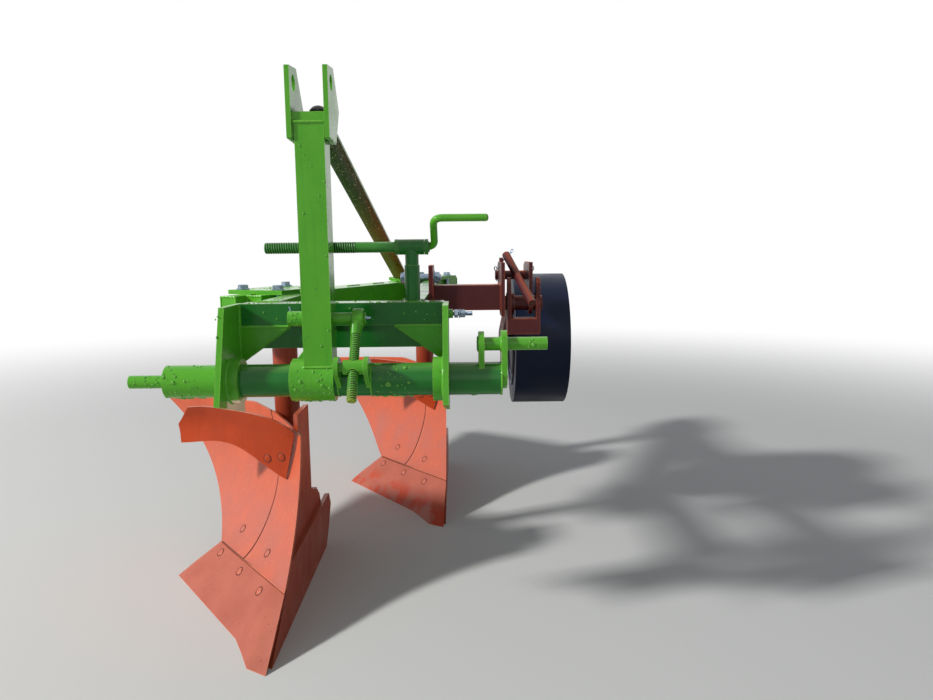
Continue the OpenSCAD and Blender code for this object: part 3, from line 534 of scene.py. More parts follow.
@functools.cache
def brace_enamel():
    """The green on the brace, darkened underneath by painted shade, where rust comes through towards its
    foot, with dried cream splashes."""
    c = bpy.context.scene.plough_colours

    # Painted shade: faces that look down are darkened towards a near-black green.
    def thin(tree, place, mottle, grit):
        normal = add(tree, "ShaderNodeNewGeometry").outputs["Normal"]
        down = add(tree, "ShaderNodeSeparateXYZ", {0: normal}).outputs["Z"]
        return add(tree, "ShaderNodeMapRange", {"Value": down, "From Min": 0.2, "From Max": -0.3}).outputs[0]

    def rusting(tree, place, mottle, grit):
        low = between(tree, place, "Z", 1030.0, 900.0)
        cloud = add(tree, "ShaderNodeMath", {0: mottle, 1: 1.5}, operation="MULTIPLY").outputs[0]
        under = thin(tree, place, mottle, grit)
        both = add(tree, "ShaderNodeMath", {0: low, 1: under}, operation="MULTIPLY").outputs[0]
        return add(tree, "ShaderNodeMath", {0: both, 1: cloud}, operation="MULTIPLY",
                   use_clamp=True).outputs[0]

    def splash(tree, place, mottle, grit):
        fleck = add(tree, "ShaderNodeMapRange",
                    {"Value": grit, "From Min": 0.64, "From Max": 0.66}).outputs[0]
        under = thin(tree, place, mottle, grit)
        return add(tree, "ShaderNodeMath", {0: fleck, 1: under}, operation="MULTIPLY").outputs[0]

    return enamel("green enamel with painted underside shade", c.green, c.green_shade, c.green_painted_highlight,
                  stains=[(linear("#27420f"), thin), (linear("#a25f24"), rusting), (c.cream, splash)])


def grooves(tree, place, mottle, grit):
    """Mask of a thread's grooves, where the mesh is hollow: the painted shade in them."""
    hollow = add(tree, "ShaderNodeNewGeometry").outputs["Pointiness"]
    return add(tree, "ShaderNodeMapRange", {"Value": hollow, "From Min": 0.5, "From Max": 0.44}).outputs[0]


@functools.cache
def worn_screw_enamel():
    """Green on a thread that turns: dark in its grooves by painted shade, rubbed to yellow-brown rust at its
    foot.
    """
    c = bpy.context.scene.plough_colours

    def foot(tree, place, mottle, grit):
        low = between(tree, place, "Z", 620.0, 596.0)
        return add(tree, "ShaderNodeMath", {0: low, 1: mottle}, operation="MULTIPLY").outputs[0]

    return enamel("rubbed green enamel", c.green, c.green_shade, c.green_painted_highlight, chip_limit=0.7,
                  stains=[(linear("#1f4a12"), grooves), (linear("#c0a23e"), foot)])


@functools.cache
def worn_spindle():
    """Dark green on the spindle's thread, darker in its grooves by painted shade, with crests lighter by wear
    and by a painted highlight.
    """
    return enamel("thin green enamel on thread", linear("#3f8434"), linear("#2a662c"), linear("#9dbd8c"),
                  rough=0.34, edge_width=1.2, stains=[(linear("#16351a"), grooves)])


@functools.cache
def body_enamel():
    """Orange-red enamel on the bodies: saturated at the top, rose under a dry film of dust lower down, with
    specks where drops have dried."""
    c = bpy.context.scene.plough_colours

    def film(tree, place, mottle, grit):
        low = between(tree, place, "Z", 470.0, 190.0)
        cloud = add(tree, "ShaderNodeMath", {0: mottle, 1: 1.4}, operation="MULTIPLY").outputs[0]
        return add(tree, "ShaderNodeMath", {0: low, 1: cloud}, operation="MULTIPLY",
                   use_clamp=True).outputs[0]

    def speck(tree, place, mottle, grit):
        return add(tree, "ShaderNodeMapRange",
                   {"Value": grit, "From Min": 0.67, "From Max": 0.69, "To Max": 0.55}).outputs[0]

    return enamel("orange body enamel", c.orange, c.orange_shade, c.orange_painted_highlight, rough=0.4,
                  chip_limit=0.77, cloudy=0.5, coat=0.05, shine=0.3,
                  stains=[(c.rose, film), (linear("#d79a78"), speck)])


@functools.cache
def wet_enamel():
    """The bodies' enamel on the trashboards, which stand clear of the soil: wet, deep and clean."""
    c = bpy.context.scene.plough_colours
    return enamel("wet orange enamel", linear("#b94012"), linear("#98330f"), c.orange_painted_highlight, rough=0.26,
                  chip_limit=0.77, cloudy=0.6)


@functools.cache
def share_enamel():
    """The same enamel on the shares, dull and rose, with small brown spots and an orange rub at the edge."""
    c = bpy.context.scene.plough_colours

    def rubbed(tree, place, mottle, grit):
        low = between(tree, place, "Z", 62.0, 30.0)
        patch = add(tree, "ShaderNodeMapRange",
                    {"Value": mottle, "From Min": 0.47, "From Max": 0.52}).outputs[0]
        rear = between(tree, place, "Y", 560.0, 600.0)
        both = add(tree, "ShaderNodeMath", {0: low, 1: patch}, operation="MULTIPLY").outputs[0]
        return add(tree, "ShaderNodeMath", {0: both, 1: rear}, operation="MULTIPLY").outputs[0]

    def spots(tree, place, mottle, grit):
        return add(tree, "ShaderNodeMapRange",
                   {"Value": grit, "From Min": 0.33, "From Max": 0.29, "To Max": 0.8}).outputs[0]

    return enamel("rose share enamel", linear("#ac5a4a"), linear("#994d40"), c.orange_painted_highlight, rough=0.52,
                  chip_limit=0.74, cloudy=0.8, coat=0.0, shine=0.25,
                  stains=[(linear("#bb4428"), rubbed), (linear("#6d342d"), spots)])


@functools.cache
def leg_enamel_painted_shade():
    """Orange-red enamel on the legs, frogs and landsides: darker than the bodies' enamel, partly their own
    tone and partly painted shade of the land side.
    """
    c = bpy.context.scene.plough_colours
    return enamel("orange leg enamel in painted shade", linear("#9c3c1f"), linear("#7a2e1a"), c.orange_painted_highlight, rough=0.42,
                  coat=0.05, shine=0.3)


@functools.cache
def bracket_painted_light_enamel():
    """Enamel of the wheel's beam and bracket: maroon as painted shade, with orange painted highlight on its
    edges and on faces that look up.
    """
    c = bpy.context.scene.plough_colours
    # Painted light: the maroon base is painted shade, the orange edge colour a painted highlight, and
    # dust=0.6 sets painted top light.
    return enamel("bracket enamel in painted shade and highlight", c.maroon, linear("#351316"), linear("#cf6238"), rough=0.4,
                  chip_limit=0.72, dust=0.6, edge_width=4.0, coat=0.06)


@functools.cache
def wheel_enamel():
    """Navy enamel on the depth wheel's rolled steel: smooth, with a broad soft highlight, and a painted sheen
    of lighter navy on faces that look up.
    """
    c = bpy.context.scene.plough_colours
    # Painted sheen: dust=0.2 lightens faces that look up towards the lighter navy.
    return enamel("navy wheel enamel", c.wheel, linear("#070d1c"), linear("#34405c"), rough=0.34,
                  chip_limit=0.74, dust=0.2, coat=0.0, shine=0.15)


@functools.cache
def painted_gap_shade():
    """Painted shade in seams, round countersunk heads and in the tube's mouth: a dark brown fill without
    gloss.
    """
    material, tree, surface, place = blank("painted gap shade fill")
    crumbs = add(tree, "ShaderNodeTexNoise", {"Vector": place, "Scale": 1000 / 2, "Detail": 4.0}).outputs[0]
    # Painted shade: a dark brown mix that fills the gaps.
    soil = add(tree, "ShaderNodeMix", {0: crumbs, 6: linear("#2a1613"), 7: linear("#6b352a")},
               data_type="RGBA").outputs[2]
    tree.links.new(soil, surface.inputs["Base Color"])
    surface.inputs["Roughness"].default_value = 0.9
    return material


def metal(name, base, worn, rough, grain_mm, metallic=1.0):
    """Bare or plated steel: two tones in noise of the grain's size, and fine marks in its gloss."""
    material, tree, surface, place = blank(name)
    grain = add(tree, "ShaderNodeTexNoise",
                {"Vector": place, "Scale": 1000 / grain_mm, "Detail": 5.0}).outputs[0]
    patch = add(tree, "ShaderNodeMapRange",
                {"Value": grain, "From Min": 0.42, "From Max": 0.66}).outputs[0]
    tone = add(tree, "ShaderNodeMix", {0: patch, 6: base, 7: worn}, data_type="RGBA").outputs[2]
    dull = add(tree, "ShaderNodeMapRange",
               {"Value": grain, "From Min": 0.3, "From Max": 0.7, "To Min": rough - 0.1,
                "To Max": rough + 0.15}).outputs[0]
    bump = add(tree, "ShaderNodeBump", {"Height": grain, "Distance": 0.0002, "Strength": 0.4})
    tree.links.new(tone, surface.inputs["Base Color"])
    tree.links.new(dull, surface.inputs["Roughness"])
    tree.links.new(bump.outputs[0], surface.inputs["Normal"])
    surface.inputs["Metallic"].default_value = metallic
    return material


@functools.cache
def zinc_plate():
    """Bright zinc plate on the fasteners: bluish, with paler bloom."""
    c = bpy.context.scene.plough_colours
    return metal("zinc plate", c.zinc, linear("#a3b0bc"), 0.36, 5.0)


@functools.cache
def black_pin():
    """Black oxide on the brace's pin: dark, greasy sheen."""
    c = bpy.context.scene.plough_colours
    return metal("black oxide", c.black_oxide, linear("#2a2c2d"), 0.34, 8.0, metallic=0.4)


@functools.cache
def rain_water():
    """Water in beads on enamel, with a sharp glint. Its light green is painted: it stands in for the green
    enamel seen through the water.
    """
    material, tree, surface, place = blank("rain water")
    swirl = add(tree, "ShaderNodeTexNoise", {"Vector": place, "Scale": 1000 / 6}).outputs[0]
    film = add(tree, "ShaderNodeMix", {0: swirl, 6: linear("#6fc43c"), 7: linear("#92d868")},
               data_type="RGBA").outputs[2]
    tree.links.new(film, surface.inputs["Base Color"])
    surface.inputs["Roughness"].default_value = 0.03
    surface.inputs["IOR"].default_value = 1.333
    surface.inputs["Transmission Weight"].default_value = 0.45
    return material


@functools.cache
def paper_floor():
    """Matt paper floor, which the camera sees fade to the white background with distance."""
    c = bpy.context.scene.plough_colours
    material, tree, surface, place = blank("pale floor paper")
    far = add(tree, "ShaderNodeVectorMath", {0: place}, operation="LENGTH").outputs["Value"]
    fade = add(tree, "ShaderNodeMapRange", {"Value": far, "From Min": 2.0, "From Max": 6.5},
               interpolation_type="SMOOTHSTEP").outputs[0]
    surface.inputs["Base Color"].default_value = c.floor
    surface.inputs["Roughness"].default_value = 0.9
    seen = add(tree, "ShaderNodeLightPath").outputs["Is Camera Ray"]
    share = add(tree, "ShaderNodeMath", {0: fade, 1: seen}, operation="MULTIPLY").outputs[0]
    white = add(tree, "ShaderNodeEmission", {"Color": linear("#ffffff"), "Strength": 1.0})
    mixed = add(tree, "ShaderNodeMixShader", {0: share, 1: surface.outputs[0], 2: white.outputs[0]})
    tree.links.new(mixed.outputs[0], tree.nodes["Material Output"].inputs["Surface"])
    return material


# Operators

class PLOUGH_OT_stage(bpy.types.Operator):
    """Lays the floor and sets the lights and the camera"""
    bl_idname = "plough.stage"
    bl_label = "Stage"

    def execute(self, context):
        reach = 14.0
        mesh = bpy.data.meshes.new("floor")
        corners = [(-reach, -reach, 0), (reach, -reach, 0), (reach, reach, 0), (-reach, reach, 0)]
        mesh.from_pydata(corners, [], [(0, 1, 2, 3)])
        floor = bpy.data.objects.new("floor", mesh)
        context.scene.collection.objects.link(floor)
        mesh.materials.append(paper_floor())
        floor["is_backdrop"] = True
        self.light(context)
        self.camera(context)
        context.scene.view_settings.view_transform = "Standard"
        return {"FINISHED"}

    def light(self, context):
        """A soft sky, which camera, glossy and transmitted rays see as white, and two lamps"""
        world = bpy.data.worlds.new("soft studio")
        context.scene.world = world
        world.use_nodes = True
        tree = world.node_tree
        soft = tree.nodes["Background"]
        soft.inputs["Color"].default_value = linear("#eef3ff")
        soft.inputs["Strength"].default_value = 0.25
        white = add(tree, "ShaderNodeBackground", {"Color": linear("#ffffff"), "Strength": 1.0})
        rays = add(tree, "ShaderNodeLightPath").outputs
        seen = rays["Is Camera Ray"]
        for ray in ("Is Glossy Ray", "Is Transmission Ray"):
            seen = add(tree, "ShaderNodeMath", {0: seen, 1: rays[ray]}, operation="MAXIMUM").outputs[0]
        mixed = add(tree, "ShaderNodeMixShader", {0: seen, 1: soft.outputs[0], 2: white.outputs[0]})
        tree.links.new(mixed.outputs[0], tree.nodes["World Output"].inputs["Surface"])

        for name, place, power, width in (
                ("key lamp", (-9.1, -3.8, 6.3), 1400.0, 1.0),
                ("fill lamp", (1.4, -5.2, 2.4), 9.0, 2.5)):
            data = bpy.data.lights.new(name, "AREA")
            data.energy = power
            data.size = width
            lamp = bpy.data.objects.new(name, data)
            aim = Vector((0, 0, 0.5)) - Vector(place)
            lamp.matrix_world = Matrix.Translation(place) @ aim.to_track_quat("-Z", "Y").to_matrix().to_4x4()
            context.scene.collection.objects.link(lamp)

    def camera(self, context):
        """A wide lens a little above the frame, looking to the rear and 8 degrees down"""
        data = bpy.data.cameras.new("camera")
        data.sensor_width = 36.0
        data.lens = 27.637
        data.clip_end = 60.0
        eye = bpy.data.objects.new("camera", data)
        right = Vector((0.99989, -0.011108, -0.009842))
        ahead = Vector((0.009637, 0.990299, -0.138621))
        above = Vector((0.011286, 0.138511, 0.990297))
        place = (MAST + np.array([295.873, -1510.553, 890.611])) / 1000.0
        turn = Matrix((right, above, -ahead)).transposed().to_4x4()
        eye.matrix_world = Matrix.Translation(Vector(place)) @ turn
        context.scene.collection.objects.link(eye)
        context.scene.camera = eye


def dress(nodes, material):
    """Gives CAD nodes one material."""
    for node in nodes:
        slots = NODES[node].data.materials
        slots.clear()
        slots.append(material)


class PLOUGH_OT_enamel(bpy.types.Operator):
    """Gives every CAD node its finish"""
    bl_idname = "plough.enamel"
    bl_label = "Enamel"

    def execute(self, context):
        dress(NODES, green_enamel())
        # Painted shade: the front beam, shaft, spindle post and right link take a darker green for the shade
        # between the plates.
        dress(["front_beam", "hitch_shaft", "spindle_post", "link_right"], painted_shade_enamel())
        dress(["side_plate_left", "side_plate_right", "crank_cheeks"], plate_enamel())
        # Partly painted shade: legs, frogs and landsides take a darker orange-red, partly for the shade on
        # the land side.
        dress([n for n in NODES if n.startswith(("leg_", "frog_", "landside_"))], leg_enamel_painted_shade())
        dress([n for n in NODES if n.startswith(("share_", "shin_", "moldboard_", "trashboard_"))],
              body_enamel())
        # Painted shade and highlight: the wheel's beam, bracket and arm take maroon for shade, with orange on
        # edges and tops.
        dress(["wheel_beam", "wheel_bracket", "swing_arm"], bracket_painted_light_enamel())
        dress(["wheel", "wheel_hub"], wheel_enamel())
        dress(["brace_pin"], black_pin())
        return {"FINISHED"}


# Working surfaces, in the body's frame: origin at the point, land side where X is zero. The curved edges are
# given by the points that draw them, the nose by its corners and their shares of the width.

def bezier(p, t):
    """Cubic curve through its first and last point, drawn by the two between."""
    p = np.asarray(p, float)
    t = np.asarray(t, float)[..., None]
    return (1 - t) ** 3 * p[0] + 3 * (1 - t) ** 2 * t * p[1] + 3 * (1 - t) * t ** 2 * p[2] + t ** 3 * p[3]


LAND_EDGE = ((0, 155, 105), (0, 290, 190), (0, 394, 300), (0, 388, 492))
REAR_EDGE = ((-257, 495, 92), (-300, 640, 105), (-352, 870, 245), (-548, 905, 425))
NOSE = ((-7, -2, 0), (-56, 28, 0), (-84, 86, 0), (-116, 148, 0), (-378, 486, 0))
NOSE_AT = (0, 0.1, 0.2, 0.3, 1)
TRASH_FOOT = ((-48, 417, 298), (-138, 446, 352), (-202, 462, 384), (-270, 478, 388), (-345, 492, 381))
TRASH_HEAD = ((-17, 400.5, 425), (-88, 409, 466), (-170, 438, 478), (-245, 462, 484), (-318, 482, 480))


def lerp(a, b, t):
    """Straight mix of two places or values."""
    return a + (b - a) * t


def on_line(points, knots, t):
    """Place on a line of straight stretches, read off at its knots."""
    points = np.asarray(points, float)
    return np.stack([np.interp(t, knots, points[:, i]) for i in range(3)], -1)


def board(u, v):
    """Moldboard at u from land to wing and v from share to top: a straight mix of its two curved edges,
    pushed back by 34 mm times the sine of u times v."""
    hollow = 34 * np.sin(math.pi * u) * v
    flat = lerp(bezier(LAND_EDGE, v), bezier(REAR_EDGE, v), u[..., None])
    return flat + np.stack([0 * hollow, hollow, 0 * hollow], -1)


def blade(u, v):
    """Share at u from land to wing and v from its cutting edge to its back: a straight mix of both."""
    back = lerp(np.array(LAND_EDGE[0], float), np.array(REAR_EDGE[0], float), u[..., None])
    return lerp(on_line(NOSE, NOSE_AT, u), back, v[..., None])


def through(points, t):
    """Smooth curve through evenly spread points: the polynomial of the fourth power that meets all five."""
    knots = np.linspace(-1, 1, len(points))
    return np.stack([np.polyval(np.polyfit(knots, line, len(points) - 1), 2 * t - 1)
                     for line in np.transpose(points)], -1)


def trash(u, w):
    """Trashboard at u from its land end to its free tip and w from foot to head: a straight mix of both
    edges, bowed by a sine across it, its tip cut to a blunt point."""
    flat = lerp(through(TRASH_FOOT, u), through(TRASH_HEAD, u), w[..., None])
    tip = -22 * np.maximum(0, 6 * u - 5) * (1 - np.abs(2 * w - 1))
    return flat + np.stack([tip, 16 * np.sin(math.pi * w) * u - 10, 0 * u], -1)


def seam_u(v):
    """Seam between shin and moldboard as a share of the width: 0.62 at the foot, falling off as the power
    1.8 of what is left to three quarters of the height, to 0.2."""
    return 0.2 + 0.42 * np.maximum(0, 1 - v / 0.75) ** 1.8


def depth(v):
    """Thickness along the direction of travel, from 22 mm at the foot to 13 mm at the top."""
    return lerp(22.0, 13.0, v)


def back_of(front, thick):
    """The grid moved to the rear by the thickness."""
    return front + np.stack([0 * thick, thick, 0 * thick], -1)


def share_form(edge):
    """Share: its thickness grows from the cutting edge to 21 mm over the first third of its height. It ends
    just short of the board's foot, which leaves the seam."""
    u, v = np.meshgrid(np.union1d(NOSE_AT, np.linspace(0, 1, 43)), np.linspace(0, 0.982, 20))
    front = blade(u, v)
    return shell(front, back_of(front, lerp(edge, 21.0, np.minimum(1, v * 3))))


def top_v(u):
    """How far up the board reaches: less at its land side, where it ends behind the trashboard."""
    return np.interp(u, (0.0, 0.16, 0.31), (0.865, 0.955, 1.0))


def board_form(side, gap):
    """Shin (side 0) or moldboard (side 1): the board up to or from the seam, less half a gap, which is a
    share of the width. Its foot stands 1.2 mm above the share."""
    s, w = np.meshgrid(np.linspace(0, 1, 14 if side == 0 else 34), np.linspace(0.0, 1, 48))
    seam = seam_u(w) + (gap if side else -gap)
    u = lerp(seam, 1.0, s) if side else s * seam
    v = w * top_v(u)
    front = board(u, v)
    front[..., 2] += 1.2 * (w == 0)
    return shell(front, back_of(front, depth(v)))


def seam_form():
    """Painted shade in the seams: dark round strips of 4.4 mm up the seam and along the board's foot, whose
    middle lies about 4 mm behind the face."""
    w = np.linspace(0, 1, 40)
    rise = board(seam_u(w), w * top_v(seam_u(w))) + (0, 3.6, 0)
    foot = blade(w * 0.99, 1 + 0 * w) + (0, 4.2, 0.2)
    return join(
        tube(rise, 2.2, (1, 0, 0), sides=6, spacing=8),
        tube(foot, 2.2, (0, 0, 1), sides=6, spacing=8))


def trash_form():
    """Trashboard, 8 mm thick along the direction of travel."""
    u, w = np.meshgrid(np.linspace(0, 1, 61), np.linspace(0, 1, 15))
    front = trash(u, w)
    return shell(front, back_of(front, 8.0 + 0 * w))


class PLOUGH_OT_bodies(bpy.types.Operator):
    """Makes the shares, shins, moldboards and trashboards as smooth curved plates"""
    bl_idname = "plough.bodies"
    bl_label = "Bodies"

    def execute(self, context):
        edge = context.scene.plough_sizes.share_edge * 1000
        half_gap = 0.003
        forms = {
            "share": (share_form(edge), share_enamel),
            "shin": (board_form(0, half_gap), body_enamel),
            "moldboard": (board_form(1, half_gap), body_enamel),
            "trashboard": (trash_form(), wet_enamel),
        }
        for place, origin in zip(("front", "rear"), BODY_ORIGINS):
            for name, ((points, faces), material) in forms.items():
                piece(f"{name}_{place}_plate", (points + origin, faces), "frame", material(),
                      "orange_enamel", replaced=[f"{name}_{place}"], sharp=40.0)
            # Painted shade: a dark strip behind each seam.
            points, faces = seam_form()
            piece(f"seam_shade_{place}", (points + origin, faces), "frame", painted_gap_shade(), "orange_enamel")
        return {"FINISHED"}


def seated(surface, x, z):
    """Place and way out on a working surface where it passes a given X and Z: the nearest of a fine grid of
    points, and the product of its steps there."""
    count = 161
    grid = surface(*np.meshgrid(np.linspace(0, 1, count), np.linspace(0, 1, count)))
    nearest = np.argmin((grid[..., 0] - x) ** 2 + (grid[..., 2] - z) ** 2)
    row, col = np.clip(np.unravel_index(nearest, (count, count)), 1, count - 2)
    out = np.cross(grid[row + 1, col] - grid[row - 1, col], grid[row, col + 1] - grid[row, col - 1])
    return grid[row, col], out / np.linalg.norm(out)


class PLOUGH_OT_plough_bolts(bpy.types.Operator):
    """Sets the countersunk plough bolts' heads into the working surfaces, each in a dark ring of painted
    shade
    """
    bl_idname = "plough.plough_bolts"
    bl_label = "Plough bolts"

    def execute(self, context):
        # Three bolts through the share, two through shin and moldboard, two through the trashboard's foot
        seats = [seated(blade, x, z) for x, z in ((-247, 79), (-159, 79), (-78, 80))]
        seats += [seated(board, x, z) for x, z in ((-193, 133), (-81, 133))]
        seats += [seated(trash, x, z) for x, z in ((-98, 352), (-57, 359))]
        places = np.array([p for p, _ in seats])
        axes = np.array([n for _, n in seats])
        head = lathe([(9.6, -3), (9.6, 0.6), (8.6, 1.3), (3.0, 1.7)], 28)
        path, _ = circle((0, 0, 0.1), 11.0, (0, 0, 1), steps=36)
        ring = tube(path, 1.1, (0, 0, 1), sides=6, spacing=2.0, loop=True)
        groups = (("body", slice(0, 5), body_enamel()), ("trashboard", slice(5, 7), wet_enamel()))
        for place, origin in zip(("front", "rear"), BODY_ORIGINS):
            for name, some, material in groups:
                heads = set_out(head, places[some] + origin, axes[some])
                piece(f"{name}_bolt_heads_{place}", heads, "frame", material, "orange_enamel")
            # Painted shade: a dark ring round each head.
            rings = set_out(ring, places + origin, axes)
            piece(f"bolt_rings_{place}", rings, "frame", painted_gap_shade(), "orange_enamel")
        return {"FINISHED"}


def through_bolt(d, grip, pitch=2.5):
    """Bolt along Z with its head below: head, washers, a shank as long as the grip, a nut above and the
    thread's end past it. Sizes follow the diameter: 1.5 across flats, 0.62 head, 0.8 nut."""
    washer = lathe([(1.02 * d, 0), (1.08 * d, 0.5), (1.08 * d, 2.5), (1.02 * d, 3)], 28)
    head = hex_block(1.5 * d, 0.62 * d)
    nut = hex_block(1.5 * d, 0.8 * d, both=True)
    end = thread(0.5 * d, 0.045 * d, pitch, 1.05 * d, 16)
    shank = lathe([(0.5 * d, -2), (0.5 * d, grip + 2)], 20)
    return join(
        shank,
        set_out(washer, (0, 0, -3)), set_out(head, (0, 0, -3), (0, 0, -1)),
        set_out(washer, (0, 0, grip)), set_out(nut, (0, 0, grip + 3)), set_out(end, (0, 0, grip + 3)))


class PLOUGH_OT_fasteners(bpy.types.Operator):
    """Sets the clamps' bolts, the wheel beam's bolts and the stud in the right side plate"""
    bl_idname = "plough.fasteners"
    bl_label = "Fasteners"

    def execute(self, context):
        sizes = context.scene.plough_sizes

        # Four bolts round each leg, through the plates above and below the main beam
        d = sizes.clamp_bolt * 1000
        grip = FRAME_TOP - FRAME_BOTTOM + 2 * CLAMP_T
        places = [on_beam(run + 93.5 * a, 58.5 * b, FRAME_TOP + CLAMP_T)
                  for run in (0, LEG_PITCH) for a in (-1, 1) for b in (-1, 1)]
        spins = np.radians([10, 25, 50, 5, 40, 15, 33, 52])
        clamp = set_out(through_bolt(d, grip), places, (0, 0, -1), spins)
        piece("leg_clamp_bolts", clamp, "frame", zinc_plate(), "zinc_steel")

        # Two bolts above the right link and two below it, through the wheel beam's clamp
        seats = [(152.6, y, z) for y, z in ((425, 817), (485, 817), (418, 666), (492, 666))]
        wheel = set_out(through_bolt(d, 74.8), seats, (1, 0, 0), np.radians([12, 47, 30, 5]))
        piece("wheel_clamp_bolts", wheel, "frame", zinc_plate(), "zinc_steel")

        # The stud with its two nuts and a washer, on a boss of the right side plate
        s = sizes.stud * 1000

        def on_stud(form, out, spin=0.0):
            return set_out(form, (PLATE_OUT[1] + out, 60, 752), (1, 0, 0), spin)

        stud = join(
            on_stud(thread(s / 2, 0.8, 2.0, 58, 14), -6),
            on_stud(hex_block(1.6 * s, 9, both=True), 12, 0.3),
            on_stud(hex_block(1.6 * s, 11, both=True), 25, 0.8),
            on_stud(lathe([(9.5, 0), (10, 0.5), (10, 2), (9.5, 2.5)], 28), 22.4))
        piece("side_stud", stud, "frame", zinc_plate(), "zinc_steel")
        boss = on_stud(lathe([(10, -1), (10, 8), (9, 9.4), (6, 9.8)], 28), 0)
        piece("side_stud_boss", boss, "frame", green_enamel(), "green_enamel")
        return {"FINISHED"}


class PLOUGH_OT_spindle(bpy.types.Operator):
    """Makes the side-shift spindle with its thread and collars, and its bent crank handle"""
    bl_idname = "plough.spindle"
    bl_label = "Side-shift spindle"

    def execute(self, context):
        pitch = context.scene.plough_sizes.thread_pitch * 1000
        lo, hi = (c - MAST for c in node_box("shift_spindle"))
        y, z = (lo[1] + hi[1]) / 2, (lo[2] + hi[2]) / 2

        def on_spindle(form, x):
            return set_out(form, (x, y, z), (1, 0, 0))

        # Thread as far as the end, then a plain shank, which carries a collar on each side of the post
        end = 70.0
        threaded, plain = end - lo[0], hi[0] - end
        collar = lathe([(17, 0), (17.2, 0.6), (17.2, 7.4), (17, 8)], 28)
        spindle = join(
            on_spindle(thread(13.0, 2.2, pitch, threaded, 20, 8), lo[0]),
            on_spindle(lathe([(11.2, -2), (11.8, 0), (11.8, plain - 1), (10.8, plain)], 28), end),
            on_spindle(collar, 155),
            on_spindle(collar, 221))
        piece("side_shift_spindle", spindle, "frame", worn_spindle(), "green_enamel",
              replaced=["shift_spindle"])
        # Painted shade: a dark core that shows in the thread's grooves.
        core = on_spindle(lathe([(11.7, 1), (11.7, threaded - 1)], 28), lo[0])
        piece("side_shift_spindle_core", core, "frame", painted_groove_shade_enamel(), "green_enamel")

        # Handle: out of the spindle's end, up and forward to the elbow, then along the grip
        start = hi[0] - 1
        knee = np.array([start + 12, y, z])
        elbow = knee + (0, -70, 60)
        grip = elbow + (112, 0, 0)
        path = rounded([(start, y, z), knee, elbow, grip], 20)
        bar = tube(path, 8.0, (0, 60, 70), sides=16)
        dome = lathe([(8.0, -1), (7.6, 1.5), (6.0, 3.6), (3.2, 5.0)], 16)
        piece("crank_handle", join(bar, set_out(dome, grip, (1, 0, 0))), "frame", green_enamel(),
              "green_enamel", replaced=["shift_crank"])
        return {"FINISHED"}


class PLOUGH_OT_brace(bpy.types.Operator):
    """Makes the brace as a flat bar bent at both ends, from the pin on the mast's top to the beam's pad"""
    bl_idname = "plough.brace"
    bl_label = "Brace"

    def execute(self, context):
        head = np.array([0.0, 78.0])
        foot = on_beam(720, 8, 0)[:2]
        run = np.linalg.norm(foot - head)
        way = (foot - head) / run
        side = np.array([way[1], -way[0]])
        high, low = MAST_TOP + 12, FRAME_TOP + 22
        line = rounded([(-22, high, 0), (36, high, 0), (run - 90, low, 0), (run + 22, low, 0)], 9)[:, :2]
        step = tangents(line)
        # Cross-section: 50 by 10 mm with corners rounded to 2 mm, carried down the line of its upper face
        width, thick, corner = 50.0, 10.0, 2.0
        turn = around(24) + math.pi / 24
        across = np.sign(np.cos(turn)) * (width / 2 - corner) + corner * np.cos(turn)
        up = np.sign(np.sin(turn)) * (thick / 2 - corner) + corner * np.sin(turn) - thick / 2
        at = line[:, :1] - step[:, 1:] * up
        height = line[:, 1:] + step[:, :1] * up
        plan = head + at[..., None] * way + across[:, None] * side
        rings = facing_out(np.concatenate([plan, height[..., None]], -1), np.append(way, 0.0)[None])
        piece("brace_bar", skin(rings), "top_brace", brace_enamel(), "green_enamel", replaced=["brace"])
        return {"FINISHED"}


class PLOUGH_OT_levelling_screw(bpy.types.Operator):
    """Makes the levelling screw: a forged eye on the cross pin and a threaded shank"""
    bl_idname = "plough.levelling_screw"
    bl_label = "Levelling screw"

    def execute(self, context):
        pitch = context.scene.plough_sizes.thread_pitch * 1000
        top = np.array([78.0, CROSS_PIN_Y, CROSS_PIN_Z])
        trunnion = np.array([78.0, -58.0, SHAFT_Z + 36.0])
        way = (trunnion - top) / np.linalg.norm(trunnion - top)
        neck_end, foot = 34.0, 192.0
        threaded = foot - neck_end
        turn = around(16)
        # Section of the eye: a rounded block 24 mm wide, carried round the cross pin
        wide = 4 + 12 * np.sign(np.cos(turn)) * np.abs(np.cos(turn)) ** 0.6
        high = 16.6 + 4.2 * np.sign(np.sin(turn)) * np.abs(np.sin(turn)) ** 0.6
        _, out = circle((0, 0, 0), 1.0, (1, 0, 0), steps=48)
        rings = top + wide[None, :, None] * np.array([1.0, 0, 0]) + high[None, :, None] * out[:, None]
        eye = skin(facing_out(rings, np.cross([[1.0, 0, 0]], out[:1])), loop=True)
        neck = set_out(lathe([(15, 12), (15, 18), (12.5, 30), (10.4, 40)], 24), top, way)
        shank = set_out(thread(10.8, 2.0, pitch, threaded, 18, 8), top + way * neck_end, way)
        piece("levelling_screw_forged", join(eye, neck, shank), "headstock", worn_screw_enamel(),
              "green_enamel", replaced=["levelling_screw"])
        # Painted shade: a dark core that shows in the thread's grooves.
        core = set_out(lathe([(9.6, 1), (9.6, threaded - 1)], 28), top + way * neck_end, way)
        piece("levelling_screw_core", core, "headstock", painted_groove_shade_enamel(), "green_enamel")
        return {"FINISHED"}


